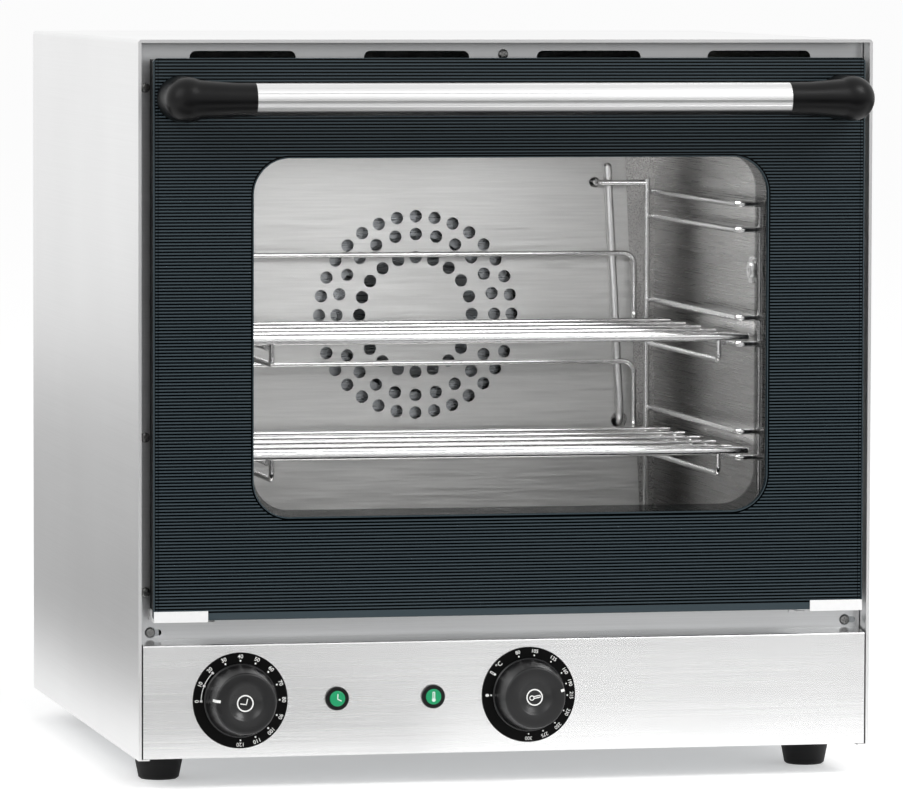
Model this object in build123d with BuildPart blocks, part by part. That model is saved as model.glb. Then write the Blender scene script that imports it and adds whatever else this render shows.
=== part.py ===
from build123d import *
from math import asin, cos, degrees, sin
import os

# A countertop convection oven: a steel casing on rubber feet, a drop-down glass door,
# a control strip below it, and a bright chamber with a fan behind its baffle.
# Millimetres. X runs to the right, Y to the back and Z up. The origin lies on the
# surface that the feet stand on, in the middle of the overall width and depth.

# Overall sizes
casing_width = 595.0
casing_height = 567.0
casing_depth = 545.0
foot_height = 24.0
handle_reach = 66.0
rear_reach = 16.0
casing_front = (handle_reach - casing_depth - rear_reach) / 2
casing_back = casing_front + casing_depth
base = foot_height

# Clearances
seat_gap = 0.3
slip_gap = 0.2
running_gap = 0.05
screw_gap = 0.2

# Casing, tray and frame
casing_sheet = 1.0
casing_bend = 3.0
hem_thickness = 2.5
hem_depth = 12.0
lip_width = 9.0
rear_flange = 14.0
tray_sheet = 1.2
tray_wall = 26.0
tray_setback = 23.0
tray_slot_length = 60.0
tray_slot_width = 5.0
tray_slot_columns = 150.0
tray_slot_pitch = 14.0
tray_slot_count = 7
frame_recess = 25.0
frame_sheet = 1.2
frame_base = 78.0
frame_side_gap = 0.6
frame_screw_inset = 9.5
frame_screw_rows = (131.0, 253.5, 529.0)
frame_top_screw = 555.0
air_slot_length = 85.0
air_slot_height = 14.0
air_slot_pitch = 140.0
air_slot_count = 4
air_slot_corner = 5.0
air_slot_drop = 6.5
post_flange = 18.0
post_sheet = 1.5
cleat_width = 24.0
cleat_leg = 14.0
cleat_foot = 546.0
partition_sheet = 1.0
partition_height = 95.0
partition_depth = 478.0
partition_setback = 28.0
partition_inset = 16.0
partition_heel = 12.0

# Chamber
chamber_margin = 75.5
chamber_height = 360.0
chamber_floor = 127.0
chamber_depth = 393.0
liner_sheet = 0.8
liner_flange = 12.0
liner_bend = 4.0
wool_thickness = 28.0
wool_setback = 3.0

# Control panel, dials, lamps and knobs
panel_foot = 1.3
panel_top = 91.0
panel_side_gap = 1.2
panel_sheet = 1.0
panel_tail = 18.0
panel_bend = 1.5
panel_flange_rise = 2.5
control_pitch = 77.7
control_height = 46.5
timer_inset = 81.2
dial_diameter = 76.0
dial_sheet = 1.2
dial_edge = 0.4
knob_diameter = 58.6
knob_face_diameter = 48.8
knob_height = 23.0
knob_edge = 1.8
knob_skirt = 2.0
knob_wall = 3.0
knob_web = 9.0
knob_boss = 12.0
dish_diameter = 26.6
dish_depth = 4.0
spindle_diameter = 6.0
spindle_flat = 1.0
spindle_bite = 14.0
spindle_tail = 30.0
bushing_diameter = 10.0
switch_width = 46.0
switch_height = 42.0
switch_depth = 34.0
switch_corner = 4.0
tab_count = 4
tab_width = 6.3
tab_thickness = 0.8
tab_length = 8.0
tab_pitch = 9.0
bezel_diameter = 19.0
bezel_height = 2.6
bezel_edge = 0.85
barrel_diameter = 14.8
barrel_length = 24.0
lens_diameter = 12.5
lens_seat = 3.0
lens_crown = 1.0
lens_edge = 0.9
lamp_nut_diameter = 21.0
lamp_nut_height = 3.5
lamp_tab_pitch = 7.0

# Door
door_margin = 9.5
door_height = 441.1
door_bottom = 111.6
door_reach = 13.0
outer_glass = 5.0
inner_glass = 4.0
pane_gap = 17.0
glass_corner = 4.0
glass_edge = 0.6
inner_glass_corner = 2.0
inner_glass_inset = 7.0
rail_width = 19.0
rail_sheet = 1.2
rail_foot = 8.4
rail_vent_length = 40.0
rail_vent_width = 5.0
rail_vent_pitch = 90.0
rail_vent_count = 5
gasket_width = 10.0
gasket_offset = 3.0
gasket_corner = 8.0
gasket_lip = 3.0
gasket_lip_height = 5.0

# Door hinge
hinge_back = 1.5
hinge_height = 114.4
bracket_length = 43.0
bracket_sheet = 1.2
bracket_rise = 8.6
block_height = 8.0
bracket_corner = 1.8
pin_diameter = 5.0
pin_grip = 22.0
ear_thickness = 7.0
ear_head = 5.5
ear_gap = 0.5
ear_clearance = 0.6
ear_sheet = 2.0
ear_plate_width = 40.0
ear_plate_foot = 106.0
ear_plate_height = 13.5
ear_screw_inset = 26.0
ear_screw_head = 11.2

# Handle
bar_diameter = 26.0
bar_bore = 21.0
bar_height = 521.0
groove_count = 3
groove_pitch = 22.0
groove_start = -22.0
groove_depth = 0.7
groove_radius = 1.1
cap_diameter = 36.0
cap_crown = 14.0
cap_inset = 3.0
neck_run = 52.7
neck_diameter = 26.8
spigot_length = 22.0
handle_screw_diameter = 5.0
handle_washer = 14.0
handle_washer_sheet = 1.2
handle_head = 8.5
handle_head_height = 2.5
handle_screw_bite = 22.0

# Side racks
rack_wire = 5.0
rail_inset = 22.0
rail_front = 48.0
rail_rear = 340.0
rail_bend = 5.0
level_pitch = 91.8
level_count = 4
slot_height = 21.0
first_lower_rail = 137.6
weld_sink = 0.6
rack_top = 444.0
hook_reach = 41.0
hook_height = 441.0
hook_bend = 7.0
hook_hole = 9.0
hook_tip = 10.0
nut_height_up = 380.0
nut_back = 61.5
nut_flange = 22.0
nut_flange_thickness = 3.0
nut_neck_reach = 4.8
nut_neck = 12.0
nut_stud = 5.0
stud_length = 10.0
nut_bore_depth = 20.0
nut_lobes = 8
nut_lobe_radius = 2.2

# Shelves
shelf_bar = 6.5
shelf_bar_edge = 1.3
shelf_end_gap = 14.0
shelf_cross_gap = 15.0
shelf_front = 44.0
shelf_back = 350.0
shelf_wire = 4.5
shelf_pitch = 52.0
shelf_cross_count = 5
shelf_side_inset = 35.0
upstand_height = 54.0
upstand_bend = 10.0
runner_drop = 18.5
runner_setback = 24.0
runner_bend = 6.0
shelf_levels = (2, 1)

# Fan, baffle and heater
baffle_front = 360.0
baffle_sheet = 0.8
baffle_top_gap = 41.5
baffle_bottom_gap = 25.5
baffle_foot = 1.5
baffle_head = 3.0
baffle_flange = 16.0
fan_height = 330.0
ring_hole = 10.6
hole_rings = ((83.0, 32), (68.0, 24), (48.5, 20))
probe_hole = 7.0
probe_hole_inset = 79.0
probe_hole_rows = (421.0, 399.0)
spacer_diameter = 12.0
spacer_inset = 72.0
spacer_low = 150.0
spacer_high = 470.0
wheel_diameter = 176.0
wheel_inner = 108.0
wheel_width = 34.0
wheel_sheet = 1.0
wheel_shroud_bore = 132.0
wheel_gap = 12.0
blade_count = 16
blade_lean = 35.0
blade_sink = 2.0
hub_diameter = 26.0
hub_length = 22.0
shaft_diameter = 8.0
shaft_hole = 14.0
shaft_nut_across = 13.0
shaft_nut_height = 6.5
motor_width = 84.0
motor_length = 46.0
motor_corner = 10.0
motor_standoff = 38.0
motor_plate = 2.0
motor_cap_diameter = 54.0
motor_cap_length = 9.0
standoff_diameter = 10.0
standoff_pitch = 64.0
wool_motor_hole = 130.0
cooler_diameter = 96.0
cooler_hub = 24.0
cooler_width = 12.0
cooler_blade = 1.6
cooler_blade_count = 7
cooler_gap = 4.0
heater_ring = 212.0
heater_tube = 8.0
heater_open = 52.0
heater_bend = 16.0
heater_leg = 60.0
heater_flange_width = 44.2
heater_flange_height = 23.8
wool_heater_width = 51.0
wool_heater_height = 34.0
heater_flange_sheet = 1.5

# Temperature bulb
bulb_diameter = 7.0
bulb_top_inset = 57.0
bulb_top = 454.0
bulb_foot_inset = 45.0
bulb_foot = 236.0
bulb_bend = 12.0
bulb_tail = 20.0
bulb_hole = 14.0
bulb_hole_rise = 3.0

# Rear panel and fittings
louvre_length = 110.0
louvre_slot = 6.0
louvre_pitch = 15.0
louvre_count = 9
louvre_hood = 5.0
louvre_sheet = 1.0
louvre_inset = 147.5
louvre_height = 210.0
rear_inset = 3.0
rear_sheet = 1.0
screw_head = 8.0
screw_head_height = 2.4
screw_head_edge = 0.8
screw_shank = 4.0
screw_length = 9.0
rear_screw_inset = 9.5
rear_screw_rows = (40.0, 200.0, 370.0, 560.0)
keyhole_inset = 13.5
keyhole_height = 99.0
keyhole_diameter = 9.0
keyhole_slot = 5.0
keyhole_reach = 9.0
vent_diameter = 28.0
vent_wall = 1.0
vent_collar = 40.3
vent_collar_sheet = 1.5
vent_inset = 92.0
vent_height = 455.0
vent_reach = 12.0
gland_inset = 67.5
gland_height = 60.0
gland_thread = 20.0
gland_across = 26.0
gland_bore = 10.0
gland_edge = 2.5
gland_nut_height = 6.0
gland_collar = 7.0
gland_inside = 10.0
terminal_width = 60.0
terminal_depth = 22.0
terminal_height = 18.0
terminal_poles = 5
terminal_bore = 5.0
terminal_bore_depth = 8.0
terminal_back = 500.0

# Feet
foot_top_diameter = 40.0
foot_diameter = 32.0
foot_rim = 5.0
foot_edge = 1.5
foot_inset = 30.5
rear_foot_inset = 52.5
foot_front = 85.0
foot_rear = 470.0
foot_bolt = 8.0
foot_bolt_bite = 14.0
foot_bolt_rise = 12.0
foot_nut_across = 13.0
foot_nut_height = 6.5

# Places worked out from the sizes above
frame_face = casing_front + frame_recess
frame_back = frame_face + frame_sheet
liner_front = frame_back
liner_back = liner_front + chamber_depth
liner_outside = liner_back + liner_sheet
floor = base + chamber_floor
ceiling = floor + chamber_height
casing_half = casing_width / 2
inner_half = casing_half - casing_sheet
chamber_width = casing_width - 2 * chamber_margin
wall = chamber_width / 2
tray_top = base + casing_sheet + tray_sheet
frame_half = inner_half - frame_side_gap
frame_top = base + casing_height - hem_thickness - slip_gap
axle = base + fan_height
glass_face = casing_front - door_reach
glass_rear = glass_face + outer_glass
pane_face = glass_rear + pane_gap
pane_rear = pane_face + inner_glass
door_foot = base + door_bottom
door_top = door_foot + door_height
door_half = casing_half - door_margin
door_width = 2 * door_half
timer_x = timer_inset - casing_half
control_z = base + control_height
lamp_x = (timer_x + control_pitch, timer_x + 2 * control_pitch)
thermostat_x = timer_x + 3 * control_pitch
dial_face = casing_front - dial_sheet
hinge_y = casing_front + hinge_back
hinge_z = base + hinge_height
bar_y = casing_front - handle_reach + neck_diameter / 2
bar_z = base + bar_height
cap_x = door_half - cap_inset - cap_diameter / 2
bar_half = cap_x - neck_run
bracket_out = door_half - seat_gap - slip_gap
bracket_in = bracket_out - bracket_length
ear_outside = bracket_in - ear_gap
ear_inside = ear_outside - ear_thickness
ear_screw_x = ear_inside + ear_screw_inset
ear_screw_z = base + ear_plate_foot + ear_plate_height / 2
foot_x = casing_half - foot_inset
rear_foot_x = casing_half - rear_foot_inset
frame_screw_x = casing_half - frame_screw_inset
keyhole_x = casing_half - keyhole_inset
rear_screw_x = casing_half - rear_screw_inset
rear_screw_spots = [(side * rear_screw_x, base + z) for side in (-1, 1) for z in rear_screw_rows]
rear_screw_spots.append((0, base + rear_screw_rows[-1]))
vent_x = wall - vent_inset
gland_x = gland_inset - casing_half
louvre_columns = (louvre_inset - casing_half, casing_half - louvre_inset)


def upright(y):
    """The plane across the oven at this depth, seen from the front."""
    return Plane.XZ.offset(-y)


def wire_part(points, bend, diameter):
    """A round wire along these points, bent to one radius at its corners."""
    with BuildPart() as wire:
        with BuildLine() as route:
            if len(points) > 2:
                FilletPolyline(*points, radius=bend)
            else:
                Line(*points)
        with BuildSketch(Plane(route.line @ 0, z_dir=route.line % 0)):
            Circle(diameter / 2)
        sweep()
    return wire.part


def save(name, part):
    """Label a finished piece and write it to its own file."""
    part.label = name
    export_step(part, f"parts/{name}.step")


os.makedirs("parts", exist_ok=True)


# Outer casing: one sheet folded over the top and both sides, hemmed at the front,
# with lips under the base tray and flanges for the rear panel.
with BuildPart() as outer_casing:
    with BuildSketch(upright(casing_front)) as wrap:
        with Locations((0, base)):
            Rectangle(casing_width, casing_height, align=(Align.CENTER, Align.MIN))
        fillet(wrap.vertices().group_by(Axis.Y)[-1], casing_bend)
        with Locations((0, base + casing_sheet)):
            Rectangle(
                2 * inner_half,
                casing_height - 2 * casing_sheet,
                align=(Align.CENTER, Align.MIN),
                mode=Mode.SUBTRACT,
            )
        with Locations((0, base)):
            Rectangle(
                casing_width - 2 * lip_width,
                casing_sheet,
                align=(Align.CENTER, Align.MIN),
                mode=Mode.SUBTRACT,
            )
    extrude(amount=-casing_depth)
    with BuildSketch(upright(casing_front)):
        with Locations((0, base + casing_sheet)):
            Rectangle(
                2 * inner_half,
                casing_height - 2 * casing_sheet,
                align=(Align.CENTER, Align.MIN),
            )
            Rectangle(
                casing_width - 2 * hem_thickness,
                casing_height - casing_sheet - hem_thickness,
                align=(Align.CENTER, Align.MIN),
                mode=Mode.SUBTRACT,
            )
    extrude(amount=-hem_depth)
    with BuildSketch(upright(casing_back)):
        with Locations((0, base + casing_sheet)):
            Rectangle(
                2 * inner_half,
                casing_height - 2 * casing_sheet,
                align=(Align.CENTER, Align.MIN),
            )
            Rectangle(
                casing_width - 2 * rear_flange,
                casing_height - casing_sheet - rear_flange,
                align=(Align.CENTER, Align.MIN),
                mode=Mode.SUBTRACT,
            )
    extrude(amount=casing_sheet)
    with BuildSketch(upright(casing_back)):
        with Locations(*rear_screw_spots):
            Circle(screw_shank / 2 + screw_gap)
    extrude(amount=casing_sheet, mode=Mode.SUBTRACT)
save("outer_casing", outer_casing.part)

# Base tray: the floor of the housing, lying on the casing's lips, with cooling slots
# and upturned walls against the casing's sides.
tray_half = inner_half - slip_gap
tray_front = casing_front + tray_setback
tray_back = casing_back - casing_sheet - slip_gap
tray_length = tray_back - tray_front
foot_places = ((foot_x, casing_front + foot_front), (rear_foot_x, casing_front + foot_rear))
foot_spots = [(side * x, y) for side in (-1, 1) for x, y in foot_places]
with BuildPart() as base_tray:
    with BuildSketch(Plane.XY.offset(base + casing_sheet)):
        with Locations((0, tray_front)):
            Rectangle(2 * tray_half, tray_length, align=(Align.CENTER, Align.MIN))
        with Locations((0, tray_front + tray_length / 2)):
            with GridLocations(tray_slot_columns, tray_slot_pitch, 2, tray_slot_count):
                SlotOverall(tray_slot_length, tray_slot_width, mode=Mode.SUBTRACT)
        with Locations(*foot_spots):
            Circle(foot_bolt / 2 + screw_gap, mode=Mode.SUBTRACT)
    extrude(amount=tray_sheet)
    with BuildSketch(Plane.XY.offset(tray_top)):
        with Locations((0, tray_front)):
            Rectangle(2 * tray_half, tray_length, align=(Align.CENTER, Align.MIN))
            Rectangle(
                2 * (tray_half - tray_sheet),
                tray_length,
                align=(Align.CENTER, Align.MIN),
                mode=Mode.SUBTRACT,
            )
    extrude(amount=tray_wall)
save("base_tray", base_tray.part)

# Feet: black rubber, tapered downwards, one under each corner of the tray.
foot_head = base + casing_sheet
with BuildPart() as feet:
    with BuildSketch(Plane.XZ):
        with BuildLine():
            Polyline(
                (0, 0),
                (foot_diameter / 2, 0),
                (foot_top_diameter / 2, foot_head - foot_rim),
                (foot_top_diameter / 2, foot_head),
                (0, foot_head),
                close=True,
            )
        make_face()
    revolve(axis=Axis.Z)
    chamfer(feet.edges().group_by(Axis.Z)[0], foot_edge)
    with BuildSketch(Plane.XY.offset(foot_head)):
        Circle(foot_bolt / 2)
    extrude(amount=-foot_bolt_bite, mode=Mode.SUBTRACT)
foot = feet.part
with BuildPart() as foot_set:
    for x, y in foot_spots:
        add(foot.moved(Location((x, y, 0))))
save("feet", foot_set.part)

# Foot bolts: a stud moulded into each foot, with its nut on the tray.
with BuildPart() as foot_bolt_one:
    with BuildSketch(Plane.XY.offset(foot_head - foot_bolt_bite)):
        Circle(foot_bolt / 2)
    extrude(amount=foot_bolt_bite + foot_bolt_rise)
    with BuildSketch(Plane.XY.offset(tray_top)):
        RegularPolygon(foot_nut_across / 2, 6, major_radius=False)
    extrude(amount=foot_nut_height)
stud = foot_bolt_one.part
with BuildPart() as foot_bolts:
    for x, y in foot_spots:
        add(stud.moved(Location((x, y, 0))))
save("foot_bolts", foot_bolts.part)

# Front frame: the recessed plate round the oven mouth, with air slots along the top,
# keyholes below the door corners and a screw row down each side.
with BuildPart() as front_frame:
    with BuildSketch(upright(frame_face)):
        with Locations((0, base + frame_base)):
            Rectangle(
                2 * frame_half,
                frame_top - base - frame_base,
                align=(Align.CENTER, Align.MIN),
            )
        with Locations((0, floor)):
            Rectangle(
                chamber_width, chamber_height, align=(Align.CENTER, Align.MIN), mode=Mode.SUBTRACT
            )
        with Locations((0, frame_top - air_slot_drop - air_slot_height / 2)):
            with GridLocations(air_slot_pitch, 1, air_slot_count, 1):
                RectangleRounded(
                    air_slot_length, air_slot_height, air_slot_corner, mode=Mode.SUBTRACT
                )
        for side in (-1, 1):
            for z in frame_screw_rows:
                with Locations((side * frame_screw_x, base + z)):
                    Circle(screw_shank / 2 + screw_gap, mode=Mode.SUBTRACT)
            with Locations((side * keyhole_x, base + keyhole_height)):
                Circle(keyhole_diameter / 2, mode=Mode.SUBTRACT)
            with Locations((side * keyhole_x + keyhole_reach / 2, base + keyhole_height)):
                SlotCenterToCenter(keyhole_reach - keyhole_slot, keyhole_slot, mode=Mode.SUBTRACT)
            with Locations((side * ear_screw_x, ear_screw_z)):
                Circle(screw_shank / 2 + screw_gap, mode=Mode.SUBTRACT)
        with Locations((0, base + frame_top_screw)):
            Circle(screw_shank / 2 + screw_gap, mode=Mode.SUBTRACT)
    extrude(amount=-frame_sheet)
save("front_frame", front_frame.part)

# Top cleat: an angle under the casing's top that takes the frame's middle screw.
cleat_top = base + casing_height - casing_sheet
with BuildPart() as top_cleat:
    with BuildSketch(upright(frame_back)):
        with Locations((0, base + cleat_foot)):
            Rectangle(cleat_width, cleat_top - base - cleat_foot, align=(Align.CENTER, Align.MIN))
        with Locations((0, base + frame_top_screw)):
            Circle(screw_shank / 2 + screw_gap, mode=Mode.SUBTRACT)
    extrude(amount=-post_sheet)
    with BuildSketch(Plane.XY.offset(cleat_top)):
        with Locations((0, frame_back)):
            Rectangle(cleat_width, cleat_leg, align=(Align.CENTER, Align.MIN))
    extrude(amount=-post_sheet)
save("top_cleat", top_cleat.part)

# Front posts: steel angles behind the frame's sides, standing on the tray.
post_outside = tray_half - tray_sheet - slip_gap
with BuildPart() as front_posts:
    for side in (-1, 1):
        with BuildSketch(Plane.XY.offset(tray_top)):
            with Locations((side * (post_outside - post_flange / 2), frame_back + post_sheet / 2)):
                Rectangle(post_flange, post_sheet)
            with Locations((side * (post_outside - post_sheet / 2), frame_back + post_flange / 2)):
                Rectangle(post_sheet, post_flange)
        extrude(amount=frame_top - tray_top)
    with BuildSketch(upright(frame_back)):
        for side in (-1, 1):
            for z in frame_screw_rows:
                with Locations((side * frame_screw_x, base + z)):
                    Circle(screw_shank / 2 + screw_gap)
            with Locations((side * keyhole_x, base + keyhole_height)):
                Circle(screw_shank / 2 + screw_gap)
    extrude(amount=-post_sheet, mode=Mode.SUBTRACT)
save("front_posts", front_posts.part)

# Partition: an upside-down channel over the control bay, which carries the chamber.
partition_half = inner_half - partition_inset
partition_top = base + partition_height + partition_sheet
partition_front = casing_front + partition_setback
with BuildPart() as partition:
    with BuildSketch(upright(partition_front)):
        with Locations((0, tray_top)):
            Rectangle(
                2 * partition_half, partition_top - tray_top, align=(Align.CENTER, Align.MIN)
            )
            Rectangle(
                2 * (partition_half - partition_sheet),
                partition_top - tray_top - partition_sheet,
                align=(Align.CENTER, Align.MIN),
                mode=Mode.SUBTRACT,
            )
        for side in (-1, 1):
            with Locations(
                (side * (partition_half + partition_heel / 2), tray_top + partition_sheet / 2)
            ):
                Rectangle(partition_heel, partition_sheet)
    extrude(amount=-partition_depth)
save("partition", partition.part)

# Heater and fan places, shared by the liner, the wool and the baffle.
heater_radius = heater_ring / 2
heater_angle = asin(heater_open / 2 / heater_radius)
heater_back = liner_back - wheel_gap - wheel_width / 2
heater_end_x = heater_radius * sin(heater_angle)
heater_end_z = axle - heater_radius * cos(heater_angle)
heater_leg_x = heater_end_x - heater_bend * cos(heater_angle)
heater_leg_z = heater_end_z - heater_bend * sin(heater_angle)
vent_z = base + vent_height
nut_y = casing_front + nut_back
nut_z = base + nut_height_up

# Chamber liner: a deep steel box with a flange behind the frame, and a welded stud on
# each side wall for the rack's thumb nut. Its floor between the lower bends is a sheet of
# its own, with its share of the flange.
with BuildPart() as chamber_box:
    with BuildSketch(upright(liner_front)):
        with Locations((0, floor + chamber_height / 2)):
            RectangleRounded(
                chamber_width + 2 * liner_sheet,
                chamber_height + 2 * liner_sheet,
                liner_bend + liner_sheet,
            )
    extrude(amount=-(chamber_depth + liner_sheet))
    with BuildSketch(upright(liner_front)):
        with Locations((0, floor + chamber_height / 2)):
            Rectangle(chamber_width + 2 * liner_flange, chamber_height + 2 * liner_flange)
    extrude(amount=-liner_sheet)
    with BuildSketch(upright(liner_front)):
        with Locations((0, floor + chamber_height / 2)):
            RectangleRounded(chamber_width, chamber_height, liner_bend)
    extrude(amount=-chamber_depth, mode=Mode.SUBTRACT)
    with BuildSketch(upright(liner_back)):
        with Locations((0, axle)):
            Circle(shaft_hole / 2)
        with Locations((-heater_leg_x, heater_leg_z), (heater_leg_x, heater_leg_z)):
            Circle(heater_tube / 2 + slip_gap)
        with Locations((vent_x, vent_z)):
            Circle(vent_diameter / 2 + slip_gap)
    extrude(amount=-liner_sheet, mode=Mode.SUBTRACT)
    for side in (-1, 1):
        with BuildSketch(Plane.YZ.offset(side * wall)):
            with Locations((nut_y, nut_z)):
                Circle(nut_stud / 2)
        extrude(amount=-side * stud_length)
floor_half = wall - liner_bend
floor_reach = chamber_depth + liner_sheet
for name, kept in (("cavity_liner", Mode.SUBTRACT), ("chamber_floor", Mode.INTERSECT)):
    with BuildPart() as liner_share:
        add(chamber_box.part)
        with BuildSketch(Plane.XY.offset(floor)):
            with Locations((0, liner_front)):
                Rectangle(2 * floor_half, 2 * floor_reach)
        extrude(amount=-2 * liner_flange, mode=kept)
    save(name, liner_share.part)

# Insulation: mineral wool round the liner on every side but the front, where it starts
# behind the points of the frame's screws.
wool_front = frame_face + screw_length + wool_setback
with BuildPart() as insulation:
    with BuildSketch(upright(wool_front)):
        with Locations((0, floor + chamber_height / 2)):
            Rectangle(
                chamber_width + 2 * (liner_sheet + wool_thickness),
                chamber_height + 2 * (liner_sheet + wool_thickness),
            )
    extrude(amount=-(liner_outside + wool_thickness - wool_front))
    with BuildSketch(upright(wool_front)):
        with Locations((0, floor + chamber_height / 2)):
            RectangleRounded(
                chamber_width + 2 * liner_sheet,
                chamber_height + 2 * liner_sheet,
                liner_bend + liner_sheet,
            )
    extrude(amount=-(liner_outside - wool_front), mode=Mode.SUBTRACT)
    with BuildSketch(upright(liner_outside)):
        with Locations((0, axle)):
            Circle(wool_motor_hole / 2)
        with Locations((0, heater_leg_z)):
            Rectangle(wool_heater_width, wool_heater_height)
        with Locations((vent_x, vent_z)):
            Circle(vent_diameter / 2 + slip_gap)
    extrude(amount=-wool_thickness, mode=Mode.SUBTRACT)
save("insulation", insulation.part)

# Control panel: a folded strip under the door, closed at its ends.
panel_half = casing_half - hem_thickness - panel_side_gap
panel_low = base + panel_foot
panel_high = base + panel_top
control_xs = (timer_x, thermostat_x)
with BuildPart() as control_panel:
    with BuildSketch(Plane.YZ.offset(-panel_half)):
        with Locations((casing_front, panel_low)):
            Rectangle(panel_sheet, panel_high - panel_low, align=(Align.MIN, Align.MIN))
            Rectangle(panel_tail, panel_sheet, align=(Align.MIN, Align.MIN))
        with BuildLine():
            Polyline(
                (casing_front, panel_high),
                (frame_face, panel_high + panel_flange_rise),
                (frame_face, panel_high + panel_flange_rise - panel_sheet),
                (casing_front, panel_high - panel_sheet),
                close=True,
            )
        make_face()
    extrude(amount=2 * panel_half)
    for side in (-1, 1):
        with BuildSketch(Plane.YZ.offset(side * panel_half)):
            with Locations((casing_front, panel_low)):
                Rectangle(panel_tail, panel_high - panel_low, align=(Align.MIN, Align.MIN))
        extrude(amount=-side * panel_sheet)
    fillet(
        control_panel.edges().filter_by(Axis.X).group_by(Axis.Y)[0].sort_by(Axis.Z)[-1],
        panel_bend,
    )
    with BuildSketch(upright(casing_front)):
        with Locations(*[(x, control_z) for x in control_xs]):
            Circle(bushing_diameter / 2 + slip_gap)
        with Locations(*[(x, control_z) for x in lamp_x]):
            Circle(barrel_diameter / 2 + slip_gap)
    extrude(amount=-panel_sheet, mode=Mode.SUBTRACT)
save("control_panel", control_panel.part)

# Dials: round printed plates that lie on the panel behind the knobs.
for name, x in (("timer_dial", timer_x), ("thermostat_dial", thermostat_x)):
    with BuildPart() as dial:
        with BuildSketch(upright(casing_front)):
            with Locations((x, control_z)):
                Circle(dial_diameter / 2)
                Circle(bushing_diameter / 2 + slip_gap, mode=Mode.SUBTRACT)
        extrude(amount=dial_sheet)
        chamfer(dial.faces().sort_by(Axis.Y)[0].outer_wire().edges(), dial_edge)
    save(name, dial.part)

# Switch bodies: the timer and the thermostat, screwed up behind the panel by the
# threaded bush that their spindle runs in.
panel_inside = casing_front + panel_sheet
for name, x in (("timer_body", timer_x), ("thermostat_body", thermostat_x)):
    with BuildPart() as switch_body:
        with BuildSketch(upright(panel_inside)):
            with Locations((x, control_z)):
                RectangleRounded(switch_width, switch_height, switch_corner)
        extrude(amount=-switch_depth)
        with BuildSketch(upright(panel_inside)):
            with Locations((x, control_z)):
                Circle(bushing_diameter / 2)
        extrude(amount=panel_sheet + dial_sheet)
        with BuildSketch(upright(dial_face)):
            with Locations((x, control_z)):
                Circle(spindle_diameter / 2 + running_gap)
        extrude(amount=-(dial_sheet + panel_sheet + spindle_tail + seat_gap), mode=Mode.SUBTRACT)
        with BuildSketch(upright(panel_inside + switch_depth)):
            with Locations((x, control_z)):
                with GridLocations(tab_pitch, 1, tab_count, 1):
                    Rectangle(tab_thickness, tab_width)
        extrude(amount=-tab_length)
    save(name, switch_body.part)

# Knobs: a moulded shell round a boss, with a rounded front edge and a dished face.
# The local Z axis points out of the panel, from the dial's face.
knob_top = knob_skirt + knob_height
with BuildPart() as knob:
    with BuildSketch(Plane.XZ):
        with BuildLine():
            Polyline(
                (0, seat_gap),
                (knob_diameter / 2, seat_gap),
                (knob_diameter / 2, knob_skirt),
                (knob_face_diameter / 2, knob_top),
                (0, knob_top),
                close=True,
            )
        make_face()
    revolve(axis=Axis.Z)
    fillet(knob.edges().group_by(Axis.Z)[-1], knob_edge)
    dish_radius = (dish_diameter**2 / 4 + dish_depth**2) / (2 * dish_depth)
    with Locations((0, 0, knob_top + dish_radius - dish_depth)):
        Sphere(dish_radius, mode=Mode.SUBTRACT)
    with BuildSketch(Plane.XY.offset(seat_gap)):
        Circle(knob_face_diameter / 2 - knob_wall)
        Circle(knob_boss / 2, mode=Mode.SUBTRACT)
    extrude(amount=knob_top - knob_web - dish_depth, mode=Mode.SUBTRACT)
    with BuildSketch(Plane.XY.offset(seat_gap)):
        Circle(spindle_diameter / 2 + running_gap)
        with Locations((0, spindle_diameter / 2 - spindle_flat + 2 * running_gap)):
            Rectangle(
                spindle_diameter,
                spindle_diameter,
                align=(Align.CENTER, Align.MIN),
                mode=Mode.SUBTRACT,
            )
    extrude(amount=spindle_bite + seat_gap, mode=Mode.SUBTRACT)
knob_shell = knob.part
with BuildPart() as spindle:
    with BuildSketch(Plane.XY.offset(-(dial_sheet + panel_sheet + spindle_tail))):
        Circle(spindle_diameter / 2)
    extrude(amount=dial_sheet + panel_sheet + spindle_tail + seat_gap)
    with BuildSketch(Plane.XY.offset(seat_gap)):
        Circle(spindle_diameter / 2)
        with Locations((0, spindle_diameter / 2 - spindle_flat)):
            Rectangle(
                spindle_diameter,
                spindle_diameter,
                align=(Align.CENTER, Align.MIN),
                mode=Mode.SUBTRACT,
            )
    extrude(amount=spindle_bite)
spindle_rod = spindle.part
for name, x in (("timer", timer_x), ("thermostat", thermostat_x)):
    place = Plane(origin=(x, dial_face, control_z), x_dir=(1, 0, 0), z_dir=(0, -1, 0)).location
    save(f"{name}_knob", knob_shell.moved(place))
    save(f"{name}_spindle", spindle_rod.moved(place))

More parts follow.
